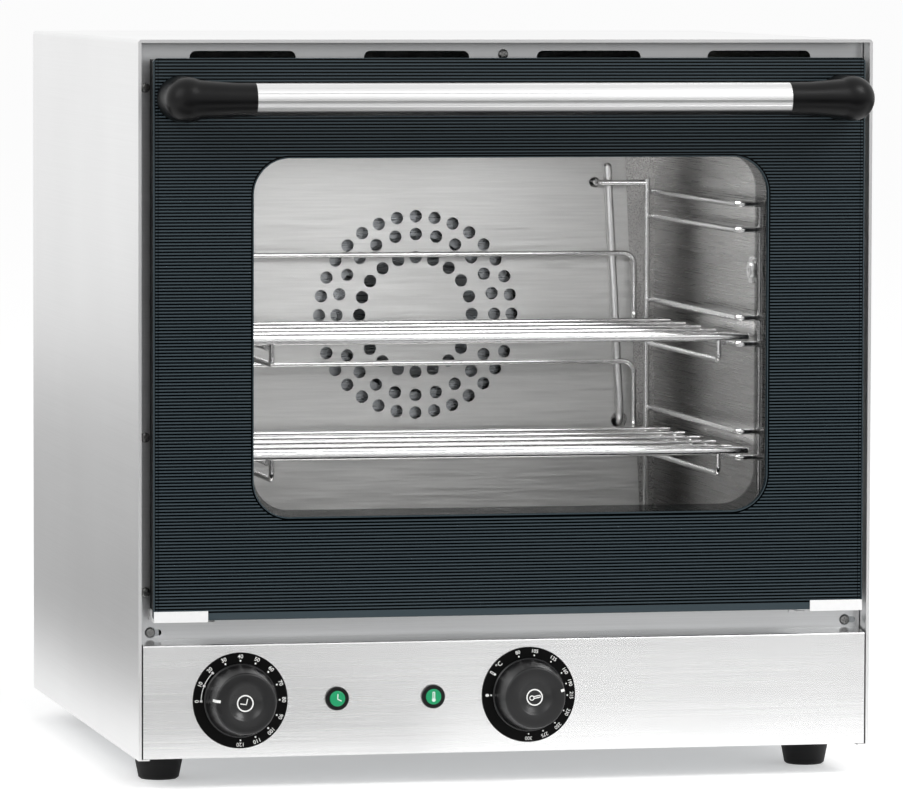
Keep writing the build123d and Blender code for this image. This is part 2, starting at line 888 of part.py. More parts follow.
# Pilot lamps: a bezel with its barrel through the panel, a domed lens in the bezel and
# a ring nut behind. The local Z axis points out of the panel.
with BuildPart() as bezel:
    with BuildSketch(Plane.XY.offset(-barrel_length)):
        Circle(barrel_diameter / 2)
    extrude(amount=barrel_length)
    with BuildSketch():
        Circle(bezel_diameter / 2)
    extrude(amount=bezel_height)
    fillet(bezel.edges().group_by(Axis.Z)[-1], bezel_edge)
    with BuildSketch(Plane.XY.offset(bezel_height)):
        Circle(lens_diameter / 2 + running_gap)
    extrude(amount=-lens_seat, mode=Mode.SUBTRACT)
    with BuildSketch(Plane.XY.offset(-barrel_length)):
        with GridLocations(lamp_tab_pitch, 1, 2, 1):
            Rectangle(tab_thickness, tab_width)
    extrude(amount=-tab_length)
bezel_shell = bezel.part
with BuildPart() as lens:
    with BuildSketch(Plane.XY.offset(bezel_height - lens_seat)):
        Circle(lens_diameter / 2)
    extrude(amount=lens_seat + lens_crown)
    fillet(lens.edges().group_by(Axis.Z)[-1], lens_edge)
lens_dome = lens.part
with BuildPart() as ring_nut:
    with BuildSketch(Plane.XY.offset(-panel_sheet)):
        Circle(lamp_nut_diameter / 2)
        Circle(barrel_diameter / 2 + running_gap, mode=Mode.SUBTRACT)
    extrude(amount=-lamp_nut_height)
nut_ring = ring_nut.part
lamp_places = [
    Plane(origin=(x, casing_front, control_z), x_dir=(1, 0, 0), z_dir=(0, -1, 0)).location
    for x in lamp_x
]
lamp_pieces = (("lamp_bezels", bezel_shell), ("lamp_lenses", lens_dome), ("lamp_nuts", nut_ring))
for name, piece in lamp_pieces:
    with BuildPart() as pair:
        for place in lamp_places:
            add(piece.moved(place))
    save(name, pair.part)

# Door glass: the outer pane is drilled for the handle screws.
with BuildPart() as outer_pane:
    with BuildSketch(upright(glass_face)):
        with Locations((0, door_foot + door_height / 2)):
            RectangleRounded(door_width, door_height, glass_corner)
        with Locations((-cap_x, bar_z), (cap_x, bar_z)):
            Circle(handle_screw_diameter / 2 + screw_gap, mode=Mode.SUBTRACT)
    extrude(amount=-outer_glass)
    chamfer(outer_pane.faces().sort_by(Axis.Y)[0].outer_wire().edges(), glass_edge)
save("outer_glass", outer_pane.part)
inner_foot = door_foot + rail_sheet - slip_gap
with BuildPart() as inner_pane:
    with BuildSketch(upright(pane_face)):
        with Locations((0, inner_foot)):
            Rectangle(
                door_width - 2 * inner_glass_inset,
                door_top - inner_glass_inset - inner_foot,
                align=(Align.CENTER, Align.MIN),
            )
    extrude(amount=-inner_glass)
    fillet(inner_pane.edges().filter_by(Axis.Y), inner_glass_corner)
save("inner_glass", inner_pane.part)

# Door rails: steel channels between the panes, open towards the middle of the door.
rail_outside = door_half - rail_sheet
rail_low = door_foot + rail_foot
rail_high = door_top - rail_sheet
rail_middle = glass_rear + pane_gap / 2
with BuildPart() as door_side_rails:
    for side in (-1, 1):
        with BuildSketch(Plane.XY.offset(rail_low)):
            with Locations((side * (rail_outside - rail_width / 2), rail_middle)):
                Rectangle(rail_width, pane_gap)
            with Locations((side * (rail_outside - rail_sheet - rail_width / 2), rail_middle)):
                Rectangle(rail_width, pane_gap - 2 * rail_sheet, mode=Mode.SUBTRACT)
        extrude(amount=rail_high - rail_low)
    with BuildSketch(upright(glass_rear)):
        with Locations((-cap_x, bar_z), (cap_x, bar_z)):
            Circle(handle_washer / 2 + slip_gap)
    extrude(amount=-rail_sheet, mode=Mode.SUBTRACT)
save("door_side_rails", door_side_rails.part)
cross_half = rail_outside - rail_width - slip_gap
with BuildPart() as door_cross_rails:
    for edge, inward in ((rail_high, -1), (rail_low, 1)):
        with BuildSketch(Plane.YZ.offset(-cross_half)):
            with Locations((rail_middle, edge + inward * rail_width / 2)):
                Rectangle(pane_gap, rail_width)
            with Locations((rail_middle, edge + inward * (rail_sheet + rail_width / 2))):
                Rectangle(pane_gap - 2 * rail_sheet, rail_width, mode=Mode.SUBTRACT)
        extrude(amount=2 * cross_half)
        with BuildSketch(Plane.XY.offset(edge)):
            with Locations((0, rail_middle)):
                with GridLocations(rail_vent_pitch, 1, rail_vent_count, 1):
                    SlotOverall(rail_vent_length, rail_vent_width)
        extrude(amount=inward * rail_sheet, mode=Mode.SUBTRACT)
save("door_cross_rails", door_cross_rails.part)

# Hinge brackets: bright shoes that hold the panes' lower corners, with a block between
# the panes for the hinge pin.
bracket_foot = door_foot - bracket_sheet
for name, side in (("hinge_bracket_left", -1), ("hinge_bracket_right", 1)):
    with BuildPart() as bracket:
        with BuildSketch(Plane.YZ.offset(side * bracket_in)):
            with Locations((glass_face - bracket_sheet, bracket_foot)):
                Rectangle(
                    pane_rear - glass_face + 2 * bracket_sheet,
                    bracket_rise,
                    align=(Align.MIN, Align.MIN),
                )
            with Locations((glass_face, door_foot)):
                Rectangle(
                    pane_rear - glass_face,
                    bracket_rise,
                    align=(Align.MIN, Align.MIN),
                    mode=Mode.SUBTRACT,
                )
            with Locations((glass_rear + slip_gap, door_foot)):
                Rectangle(
                    pane_gap - 2 * slip_gap,
                    block_height,
                    align=(Align.MIN, Align.MIN),
                )
        extrude(amount=side * bracket_length)
        fillet(
            bracket.edges()
            .filter_by(Axis.Y)
            .group_by(Axis.Z)[-1]
            .group_by(Axis.Y)[0],
            bracket_corner,
        )
        with BuildSketch(Plane.YZ.offset(side * bracket_in)):
            with Locations((hinge_y, hinge_z)):
                Circle(pin_diameter / 2)
        extrude(amount=side * pin_grip, mode=Mode.SUBTRACT)
    save(name, bracket.part)

# Hinge pins: pressed into the brackets, turning in the ears on the frame.
with BuildPart() as hinge_pins:
    for side in (-1, 1):
        with BuildSketch(Plane.YZ.offset(side * ear_inside)):
            with Locations((hinge_y, hinge_z)):
                Circle(pin_diameter / 2)
        extrude(amount=side * (ear_thickness + ear_gap + pin_grip))
save("hinge_pins", hinge_pins.part)

# Hinge ears: each a rounded eye on an arm that passes under the inner pane, with a
# plate screwed to the frame.
ear_arm_top = inner_foot - ear_clearance
ear_arm_foot = hinge_z - ear_head
with BuildPart() as hinge_ears:
    for side in (-1, 1):
        with BuildSketch(Plane.YZ.offset(side * ear_inside)):
            with Locations((hinge_y, hinge_z)):
                Circle(ear_head)
            with Locations((hinge_y, ear_arm_foot)):
                Rectangle(
                    frame_face - hinge_y,
                    ear_arm_top - ear_arm_foot,
                    align=(Align.MIN, Align.MIN),
                )
            with Locations((hinge_y, hinge_z)):
                Circle(pin_diameter / 2 + running_gap, mode=Mode.SUBTRACT)
        extrude(amount=side * ear_thickness)
        with BuildSketch(upright(frame_face)):
            with Locations((side * (ear_inside + ear_plate_width / 2), base + ear_plate_foot)):
                Rectangle(ear_plate_width, ear_plate_height, align=(Align.CENTER, Align.MIN))
            with Locations((side * ear_screw_x, ear_screw_z)):
                Circle(screw_shank / 2 + screw_gap, mode=Mode.SUBTRACT)
        extrude(amount=ear_sheet)
save("hinge_ears", hinge_ears.part)


def screw_part(head, head_height, edge, shank, length):
    """A pan-head screw: local Z points out of its head, from under the head."""
    with BuildPart() as screw:
        with BuildSketch():
            Circle(head / 2)
        extrude(amount=head_height)
        chamfer(screw.edges().group_by(Axis.Z)[-1], edge)
        with BuildSketch():
            Circle(shank / 2)
        extrude(amount=-length)
    return screw.part


def facing_front(x, y, z):
    """The place of a fastener whose head looks forward."""
    return Plane(origin=(x, y, z), x_dir=(1, 0, 0), z_dir=(0, -1, 0)).location


def facing_back(x, y, z):
    """The place of a fastener whose head looks backward."""
    return Plane(origin=(x, y, z), x_dir=(-1, 0, 0), z_dir=(0, 1, 0)).location


# Screws: the frame's, the hinge ears', those in the keyholes and the rear panel's.
small_screw = screw_part(
    screw_head, screw_head_height, screw_head_edge, screw_shank, screw_length
)
ear_screw = screw_part(
    ear_screw_head, screw_head_height, screw_head_edge, screw_shank, screw_length
)
with BuildPart() as frame_screws:
    for side in (-1, 1):
        for z in frame_screw_rows:
            add(small_screw.moved(facing_front(side * frame_screw_x, frame_face, base + z)))
        add(small_screw.moved(facing_front(side * keyhole_x, frame_back, base + keyhole_height)))
        ear_place = facing_front(side * ear_screw_x, frame_face - ear_sheet, ear_screw_z)
        add(ear_screw.moved(ear_place))
    add(small_screw.moved(facing_front(0, frame_face, base + frame_top_screw)))
save("frame_screws", frame_screws.part)
with BuildPart() as rear_screws:
    for x, z in rear_screw_spots:
        add(small_screw.moved(facing_back(x, casing_back + rear_sheet, z)))
save("rear_screws", rear_screws.part)

# Door gasket: a silicone ring on the frame, with a narrower lip against the glass.
gasket_back = frame_face - (pane_rear + seat_gap)
gasket_middle = floor + chamber_height / 2
with BuildPart() as door_gasket:
    with BuildSketch(upright(frame_face)):
        with Locations((0, gasket_middle)):
            RectangleRounded(
                chamber_width + 2 * (gasket_offset + gasket_width),
                chamber_height + 2 * (gasket_offset + gasket_width),
                gasket_corner + gasket_width,
            )
            RectangleRounded(
                chamber_width + 2 * gasket_offset,
                chamber_height + 2 * gasket_offset,
                gasket_corner,
                mode=Mode.SUBTRACT,
            )
    extrude(amount=gasket_back - gasket_lip_height)
    with BuildSketch(upright(frame_face - gasket_back + gasket_lip_height)):
        with Locations((0, gasket_middle)):
            RectangleRounded(
                chamber_width + 2 * (gasket_offset + gasket_width - gasket_lip),
                chamber_height + 2 * (gasket_offset + gasket_width - gasket_lip),
                gasket_corner + gasket_width - gasket_lip,
            )
            RectangleRounded(
                chamber_width + 2 * (gasket_offset + gasket_lip),
                chamber_height + 2 * (gasket_offset + gasket_lip),
                gasket_corner + gasket_lip,
                mode=Mode.SUBTRACT,
            )
    extrude(amount=gasket_lip_height)
save("door_gasket", door_gasket.part)

# Handle bar: a drawn aluminium tube with fine grooves along its front.
with BuildPart() as handle_bar:
    with BuildSketch(Plane.YZ.offset(-bar_half)):
        with Locations((bar_y, bar_z)):
            Circle(bar_diameter / 2)
            with PolarLocations(
                bar_diameter / 2 + groove_radius - groove_depth,
                groove_count,
                start_angle=180 + groove_start,
                angular_range=groove_pitch * (groove_count - 1),
                endpoint=True,
            ):
                Circle(groove_radius, mode=Mode.SUBTRACT)
            Circle(bar_bore / 2, mode=Mode.SUBTRACT)
    extrude(amount=2 * bar_half)
save("handle_bar", handle_bar.part)

# Handle caps: a round leg from the glass with a domed front end, and a neck that meets
# the bar and plugs into it.
for name, side in (("handle_cap_left", -1), ("handle_cap_right", 1)):
    with BuildPart() as cap:
        with BuildSketch(upright(glass_face)):
            with Locations((side * cap_x, bar_z)):
                Circle(cap_diameter / 2)
        extrude(amount=handle_reach - door_reach)
        fillet(cap.edges().group_by(Axis.Y)[0], cap_crown)
        with BuildSketch(Plane.YZ.offset(side * cap_x)):
            with Locations((bar_y, bar_z)):
                Circle(neck_diameter / 2)
        extrude(amount=-side * (cap_x - bar_half))
        with BuildSketch(Plane.YZ.offset(side * bar_half)):
            with Locations((bar_y, bar_z)):
                Circle(bar_bore / 2 - running_gap)
        extrude(amount=-side * spigot_length)
        with BuildSketch(upright(glass_face)):
            with Locations((side * cap_x, bar_z)):
                Circle(handle_screw_diameter / 2 + running_gap)
        extrude(amount=handle_screw_bite + slip_gap, mode=Mode.SUBTRACT)
    save(name, cap.part)

# Handle screws: each through a washer and the outer pane into its cap.
with BuildPart() as handle_washers:
    with BuildSketch(upright(glass_rear)):
        with Locations((-cap_x, bar_z), (cap_x, bar_z)):
            Circle(handle_washer / 2)
            Circle(handle_screw_diameter / 2 + screw_gap, mode=Mode.SUBTRACT)
    extrude(amount=-handle_washer_sheet)
save("handle_washers", handle_washers.part)
with BuildPart() as handle_screws:
    for side in (-1, 1):
        fixing = screw_part(
            handle_head,
            handle_head_height,
            screw_head_edge,
            handle_screw_diameter,
            handle_washer_sheet + outer_glass + handle_screw_bite,
        )
        place = facing_back(side * cap_x, glass_rear + handle_washer_sheet, bar_z)
        add(fixing.moved(place))
save("handle_screws", handle_screws.part)

# Side racks: bent wire rails in pairs, a rear upright with a hook into the baffle, and
# a front upright behind the thumb nut.
rail_x = wall - rail_inset
rail_y = casing_front + rail_front
rear_y = casing_front + rail_rear
inner_upright_x = rail_x - rack_wire + weld_sink
outer_upright_x = wall - seat_gap - rack_wire / 2
outer_upright_y = rail_y + rack_wire - weld_sink
hook_x = inner_upright_x - hook_reach
hook_z = base + hook_height
lower_rails = [base + first_lower_rail + level * level_pitch for level in range(level_count)]
highest_rail = lower_rails[-1] + slot_height
baffle_y = casing_front + baffle_front
with BuildPart() as side_rack_left:
    for low in lower_rails:
        for z in (low, low + slot_height):
            rail = [
                (-rail_x, rear_y + rack_wire / 2, z),
                (-rail_x, rail_y, z),
                (-(wall - seat_gap), rail_y, z),
            ]
            add(wire_part(rail, rail_bend, rack_wire))
    rear_upright = [
        (-inner_upright_x, rear_y, floor + seat_gap),
        (-inner_upright_x, rear_y, base + rack_top),
    ]
    add(wire_part(rear_upright, 0, rack_wire))
    front_upright = [
        (-outer_upright_x, outer_upright_y, floor + liner_bend),
        (-outer_upright_x, outer_upright_y, highest_rail + rack_wire / 2),
    ]
    add(wire_part(front_upright, 0, rack_wire))
    hook = [
        (-inner_upright_x, rear_y, hook_z),
        (-hook_x, baffle_y - hook_bend - rack_wire, hook_z),
        (-hook_x, baffle_y + hook_tip, hook_z),
    ]
    add(wire_part(hook, hook_bend, rack_wire))
save("side_rack_left", side_rack_left.part)
with BuildPart() as side_rack_right:
    mirror(side_rack_left.part, about=Plane.YZ)
save("side_rack_right", side_rack_right.part)

# Thumb nuts: a fluted flange and neck on the liner's studs, against the front uprights.
nut_face = outer_upright_x - rack_wire / 2 - seat_gap
with BuildPart() as rack_nuts:
    for side in (-1, 1):
        with BuildSketch(Plane.YZ.offset(side * nut_face)):
            with Locations((nut_y, nut_z)):
                Circle(nut_flange / 2)
                with PolarLocations(nut_flange / 2, nut_lobes):
                    Circle(nut_lobe_radius, mode=Mode.SUBTRACT)
        extrude(amount=-side * nut_flange_thickness)
        with BuildSketch(Plane.YZ.offset(side * (wall - seat_gap))):
            with Locations((nut_y, nut_z)):
                Circle(nut_neck / 2)
        extrude(amount=-side * (wall - seat_gap - nut_face + nut_neck_reach))
        with BuildSketch(Plane.YZ.offset(side * wall)):
            with Locations((nut_y, nut_z)):
                Circle(nut_stud / 2 + running_gap)
        extrude(amount=-side * nut_bore_depth, mode=Mode.SUBTRACT)
save("rack_nuts", rack_nuts.part)

# Shelves: a front bar and cross wires that lie on the rails, a bent side wire that
# rises into the raised back, and a runner welded inside each side wire, which hangs
# under the shelf.
shelf_side_x = wall - shelf_side_inset
runner_x = shelf_side_x - shelf_wire + weld_sink
shelf_y = casing_front + shelf_front
shelf_end_y = casing_front + shelf_back
cross_drop = (shelf_bar - shelf_wire) / 2
shelf_half = wall - shelf_end_gap
shelf_cross_half = wall - shelf_cross_gap
for name, level in (("shelf_upper", shelf_levels[0]), ("shelf_lower", shelf_levels[1])):
    deck = lower_rails[level] + rack_wire / 2 + seat_gap + shelf_bar / 2
    cross_z = deck - cross_drop
    side_z = cross_z - shelf_wire + weld_sink
    runner_z = deck - runner_drop
    runner_end_y = shelf_y + shelf_cross_count * shelf_pitch - runner_setback
    with BuildPart() as shelf:
        front_bar = [(-shelf_half, shelf_y, deck), (shelf_half, shelf_y, deck)]
        add(wire_part(front_bar, 0, shelf_bar))
        fillet(shelf.edges().filter_by(GeomType.CIRCLE), shelf_bar_edge)
        side_wire = [
            (-shelf_side_x, shelf_y, side_z),
            (-shelf_side_x, shelf_end_y, side_z),
            (-shelf_side_x, shelf_end_y, deck + upstand_height),
            (shelf_side_x, shelf_end_y, deck + upstand_height),
            (shelf_side_x, shelf_end_y, side_z),
            (shelf_side_x, shelf_y, side_z),
        ]
        add(wire_part(side_wire, upstand_bend, shelf_wire))
        for step in range(1, shelf_cross_count + 1):
            y = shelf_y + step * shelf_pitch
            cross = [(-shelf_cross_half, y, cross_z), (shelf_cross_half, y, cross_z)]
            add(wire_part(cross, 0, shelf_wire))
        for side in (-1, 1):
            runner = [
                (side * runner_x, shelf_y, deck),
                (side * runner_x, shelf_y, runner_z),
                (side * runner_x, runner_end_y, runner_z),
                (side * runner_x, runner_end_y, side_z),
            ]
            add(wire_part(runner, runner_bend, shelf_wire))
    save(name, shelf.part)

# Fan baffle: a tapered plate with rings of holes and a flange down each side.
baffle_low = floor + baffle_foot
baffle_high = ceiling - baffle_head
baffle_half_top = wall - baffle_top_gap
baffle_half_bottom = wall - baffle_bottom_gap
probe_hole_x = wall - probe_hole_inset
bulb_top_x = wall - bulb_top_inset
bulb_foot_x = wall - bulb_foot_inset
spacer_x = wall - spacer_inset


def baffle_outline(inset, over):
    """The corners of the baffle's face, drawn in from its sides and over its ends."""
    return (
        (-(baffle_half_bottom - inset), baffle_low - over),
        (baffle_half_bottom - inset, baffle_low - over),
        (baffle_half_top - inset, baffle_high + over),
        (-(baffle_half_top - inset), baffle_high + over),
    )


spacer_spots = [
    (side * spacer_x, base + z) for side in (-1, 1) for z in (spacer_low, spacer_high)
]
with BuildPart() as fan_baffle:
    with BuildSketch(upright(baffle_y)):
        with BuildLine():
            Polyline(*baffle_outline(0, 0), close=True)
        make_face()
    extrude(amount=-baffle_sheet)
    with BuildSketch(upright(baffle_y + baffle_sheet)):
        with BuildLine():
            Polyline(*baffle_outline(0, 0), close=True)
        make_face()
        with BuildLine():
            Polyline(*baffle_outline(baffle_sheet, baffle_sheet), close=True)
        make_face(mode=Mode.SUBTRACT)
    extrude(amount=-baffle_flange)
    with BuildSketch(upright(baffle_y)):
        for radius, count in hole_rings:
            with Locations((0, axle)):
                with PolarLocations(radius, count, start_angle=90):
                    Circle(ring_hole / 2)
        with Locations((-hook_x, hook_z), (hook_x, hook_z)):
            Circle(hook_hole / 2)
        with Locations(*[(-probe_hole_x, base + z) for z in probe_hole_rows]):
            Circle(probe_hole / 2)
        with Locations((bulb_foot_x, base + bulb_foot + bulb_hole_rise)):
            Circle(bulb_hole / 2)
        with Locations(*spacer_spots):
            Circle(screw_shank / 2 + screw_gap)
    extrude(amount=-baffle_sheet, mode=Mode.SUBTRACT)
save("fan_baffle", fan_baffle.part)

# Baffle spacers and their screws.
with BuildPart() as baffle_spacers:
    with BuildSketch(upright(baffle_y + baffle_sheet)):
        with Locations(*spacer_spots):
            Circle(spacer_diameter / 2)
            Circle(screw_shank / 2 + screw_gap, mode=Mode.SUBTRACT)
    extrude(amount=-(liner_back - baffle_y - baffle_sheet))
save("baffle_spacers", baffle_spacers.part)
with BuildPart() as baffle_screws:
    for x, z in spacer_spots:
        add(small_screw.moved(facing_front(x, baffle_y, z)))
save("baffle_screws", baffle_screws.part)

# Temperature bulb: a round-ended tube that stands in front of the baffle, leans out a
# little and turns back through it at its foot.
bulb_y = baffle_y - bulb_diameter / 2 - seat_gap
bulb_route = [
    (bulb_top_x, bulb_y, base + bulb_top),
    (bulb_foot_x, bulb_y, base + bulb_foot),
    (bulb_foot_x, bulb_y + bulb_tail, base + bulb_foot),
]
with BuildPart() as temperature_bulb:
    add(wire_part(bulb_route, bulb_bend, bulb_diameter))
    with Locations(bulb_route[0]):
        Sphere(bulb_diameter / 2)
save("temperature_bulb", temperature_bulb.part)

# Ring heater: a tube round the fan wheel whose two legs turn back through the liner,
# brazed into a flange on the liner's outside.
with BuildPart() as ring_heater:
    with BuildLine(upright(heater_back)) as ring_route:
        CenterArc(
            (0, axle),
            heater_radius,
            degrees(heater_angle) - 90,
            360 - 2 * degrees(heater_angle),
        )
    with BuildSketch(Plane(ring_route.line @ 0, z_dir=ring_route.line % 0)):
        Circle(heater_tube / 2)
    sweep()
    for side in (-1, 1):
        leg = [
            (side * heater_end_x, heater_back, heater_end_z),
            (side * heater_leg_x, heater_back, heater_leg_z),
            (side * heater_leg_x, heater_back + heater_leg, heater_leg_z),
        ]
        add(wire_part(leg, heater_bend - slip_gap, heater_tube))
    with BuildSketch(upright(liner_outside)):
        with Locations((0, heater_leg_z)):
            Rectangle(heater_flange_width, heater_flange_height)
    extrude(amount=-heater_flange_sheet)
save("ring_heater", ring_heater.part)

# Fan wheel: a back plate, leaning blades, a front ring and a hub on the shaft.
wheel_back = liner_back - wheel_gap
with BuildPart() as fan_wheel:
    with BuildSketch(upright(wheel_back)):
        with Locations((0, axle)):
            Circle(wheel_diameter / 2)
    extrude(amount=wheel_sheet)
    with BuildSketch(upright(wheel_back - wheel_sheet)):
        with Locations((0, axle)):
            with PolarLocations((wheel_diameter + wheel_inner) / 4, blade_count):
                Rectangle(
                    (wheel_diameter - wheel_inner) / 2 - blade_sink,
                    wheel_sheet,
                    rotation=blade_lean,
                )
    extrude(amount=wheel_width)
    with BuildSketch(upright(wheel_back - wheel_sheet - wheel_width)):
        with Locations((0, axle)):
            Circle(wheel_diameter / 2)
            Circle(wheel_shroud_bore / 2, mode=Mode.SUBTRACT)
    extrude(amount=wheel_sheet)
    with BuildSketch(upright(wheel_back)):
        with Locations((0, axle)):
            Circle(hub_diameter / 2)
    extrude(amount=hub_length)
    with BuildSketch(upright(wheel_back)):
        with Locations((0, axle)):
            Circle(shaft_diameter / 2 + running_gap)
    extrude(amount=hub_length, mode=Mode.SUBTRACT)
save("fan_wheel", fan_wheel.part)

# Motor: its standoffs and plate behind the liner, and the motor on the plate.
plate_front = liner_outside + motor_standoff
motor_front = plate_front + motor_plate
motor_rear = motor_front + motor_length
cooler_front = motor_rear + motor_cap_length + cooler_gap
with BuildPart() as motor_mount:
    with BuildSketch(upright(liner_outside)):
        with Locations((0, axle)):
            with GridLocations(standoff_pitch, standoff_pitch, 2, 2):
                Circle(standoff_diameter / 2)
    extrude(amount=-motor_standoff)
    with BuildSketch(upright(plate_front)):
        with Locations((0, axle)):
            RectangleRounded(motor_width, motor_width, motor_corner)
            Circle(shaft_hole / 2, mode=Mode.SUBTRACT)
    extrude(amount=-motor_plate)
save("motor_mount", motor_mount.part)
with BuildPart() as fan_motor:
    with BuildSketch(upright(motor_front)):
        with Locations((0, axle)):
            RectangleRounded(motor_width, motor_width, motor_corner)
    extrude(amount=-motor_length)
    with BuildSketch(upright(motor_rear)):
        with Locations((0, axle)):
            Circle(motor_cap_diameter / 2)
    extrude(amount=-motor_cap_length)
    with BuildSketch(upright(motor_front)):
        with Locations((0, axle)):
            Circle(shaft_diameter / 2 + running_gap)
    extrude(amount=-(motor_length + motor_cap_length), mode=Mode.SUBTRACT)
save("fan_motor", fan_motor.part)

# Fan shaft, with its front nut, and the cooling wheel behind the motor.
shaft_front = wheel_back - hub_length - shaft_nut_height
shaft_rear = cooler_front + cooler_width
with BuildPart() as fan_shaft:
    with BuildSketch(upright(shaft_front)):
        with Locations((0, axle)):
            Circle(shaft_diameter / 2)
    extrude(amount=-(shaft_rear - shaft_front))
save("fan_shaft", fan_shaft.part)
with BuildPart() as fan_nut:
    with BuildSketch(upright(shaft_front)):
        with Locations((0, axle)):
            RegularPolygon(shaft_nut_across / 2, 6, major_radius=False)
            Circle(shaft_diameter / 2 + running_gap, mode=Mode.SUBTRACT)
    extrude(amount=-shaft_nut_height)
save("fan_nut", fan_nut.part)
with BuildPart() as cooling_wheel:
    with BuildSketch(upright(cooler_front)):
        with Locations((0, axle)):
            Circle(cooler_hub / 2)
            with PolarLocations(
                (cooler_diameter + cooler_hub) / 4 - blade_sink / 2, cooler_blade_count
            ):
                Rectangle((cooler_diameter - cooler_hub) / 2 + blade_sink, cooler_blade)
            Circle(shaft_diameter / 2 + running_gap, mode=Mode.SUBTRACT)
    extrude(amount=-cooler_width)
save("cooling_wheel", cooling_wheel.part)

# Rear panel: a screwed-on sheet with hooded louvres, holed for the steam outlet and
# the cable gland.
panel_rear = casing_back + rear_sheet
gland_z = base + gland_height
with BuildPart() as rear_panel:
    with BuildSketch(upright(casing_back)):
        with Locations((0, base + rear_inset)):
            Rectangle(
                casing_width - 2 * rear_inset,
                casing_height - 2 * rear_inset,
                align=(Align.CENTER, Align.MIN),
            )
        for x in louvre_columns:
            for row in range(louvre_count):
                with Locations((x, base + louvre_height + row * louvre_pitch)):
                    Rectangle(louvre_length, louvre_slot, mode=Mode.SUBTRACT)
        with Locations(*rear_screw_spots):
            Circle(screw_shank / 2 + screw_gap, mode=Mode.SUBTRACT)
        with Locations((vent_x, vent_z)):
            Circle(vent_diameter / 2 + slip_gap, mode=Mode.SUBTRACT)
        with Locations((gland_x, gland_z)):
            Circle(gland_thread / 2 + slip_gap, mode=Mode.SUBTRACT)
    extrude(amount=-rear_sheet)
    for row in range(louvre_count):
        slot_top = base + louvre_height + row * louvre_pitch + louvre_slot / 2
        slot_foot = slot_top - louvre_slot
        for x in louvre_columns:
            with BuildSketch(Plane.YZ.offset(x - louvre_length / 2 - louvre_sheet)):
                with BuildLine():
                    Polyline(
                        (panel_rear, slot_top + louvre_sheet),
                        (panel_rear + louvre_hood, slot_foot + louvre_sheet),
                        (panel_rear + louvre_hood, slot_foot),
                        (panel_rear, slot_top),
                        close=True,
                    )
                make_face()
            extrude(amount=louvre_length + 2 * louvre_sheet)
            for side in (-1, 1):
                with BuildSketch(Plane.YZ.offset(x + side * louvre_length / 2)):
                    with BuildLine():
                        Polyline(
                            (panel_rear, slot_top + louvre_sheet),
                            (panel_rear + louvre_hood, slot_foot + louvre_sheet),
                            (panel_rear + louvre_hood, slot_foot),
                            (panel_rear, slot_foot),
                            close=True,
                        )
                    make_face()
                extrude(amount=side * louvre_sheet)
save("rear_panel", rear_panel.part)

# Steam outlet: a thin pipe from the chamber's back wall out through the rear panel.
with BuildPart() as steam_outlet:
    with BuildSketch(upright(liner_back)):
        with Locations((vent_x, vent_z)):
            Circle(vent_diameter / 2)
    extrude(amount=-(panel_rear + vent_reach - liner_back))
    with BuildSketch(upright(panel_rear)):
        with Locations((vent_x, vent_z)):
            Circle(vent_collar / 2)
    extrude(amount=-vent_collar_sheet)
    with BuildSketch(upright(liner_back)):
        with Locations((vent_x, vent_z)):
            Circle(vent_diameter / 2 - vent_wall)
    extrude(amount=-(panel_rear + vent_reach - liner_back), mode=Mode.SUBTRACT)
save("steam_outlet", steam_outlet.part)

# Cable gland: a threaded body through the rear panel, with its cap outside and its
# locknut inside, bored for the mains lead.
with BuildPart() as cable_gland:
    with BuildSketch(upright(casing_back - gland_inside)):
        with Locations((gland_x, gland_z)):
            Circle(gland_thread / 2)
    extrude(amount=-(gland_inside + rear_sheet))
    with BuildSketch(upright(panel_rear)):
        with Locations((gland_x, gland_z)):
            RegularPolygon(gland_across / 2, 6, major_radius=False)
    extrude(amount=-gland_collar)
    with BuildSketch(upright(panel_rear + gland_collar)):
        with Locations((gland_x, gland_z)):
            Circle(gland_across / 2 - slip_gap)
    extrude(amount=-(rear_reach - rear_sheet - gland_collar))
    fillet(cable_gland.edges().group_by(Axis.Y)[-1], gland_edge)
    with BuildSketch(upright(casing_back - gland_inside)):
        with Locations((gland_x, gland_z)):
            Circle(gland_bore / 2)
    extrude(amount=-(gland_inside + rear_reach), mode=Mode.SUBTRACT)
save("cable_gland", cable_gland.part)
with BuildPart() as gland_nut:
    with BuildSketch(upright(casing_back)):
        with Locations((gland_x, gland_z)):
            RegularPolygon(gland_across / 2, 6, major_radius=False)
            Circle(gland_thread / 2 + running_gap, mode=Mode.SUBTRACT)
    extrude(amount=gland_nut_height)
save("gland_nut", gland_nut.part)

# Terminal block: where the mains lead ends, on the tray below the gland.
with BuildPart() as terminal_block:
    with BuildSketch(Plane.XY.offset(tray_top)):
        with Locations((gland_x, casing_front + terminal_back)):
            Rectangle(terminal_width, terminal_depth)
    extrude(amount=terminal_height)
    with BuildSketch(Plane.XY.offset(tray_top + terminal_height)):
        with Locations((gland_x, casing_front + terminal_back)):
            with GridLocations(terminal_width / terminal_poles, 1, terminal_poles, 1):
                Circle(terminal_bore / 2)
    extrude(amount=-terminal_bore_depth, mode=Mode.SUBTRACT)
save("terminal_block", terminal_block.part)
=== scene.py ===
from math import atan2, cos, hypot, pi, radians, sin

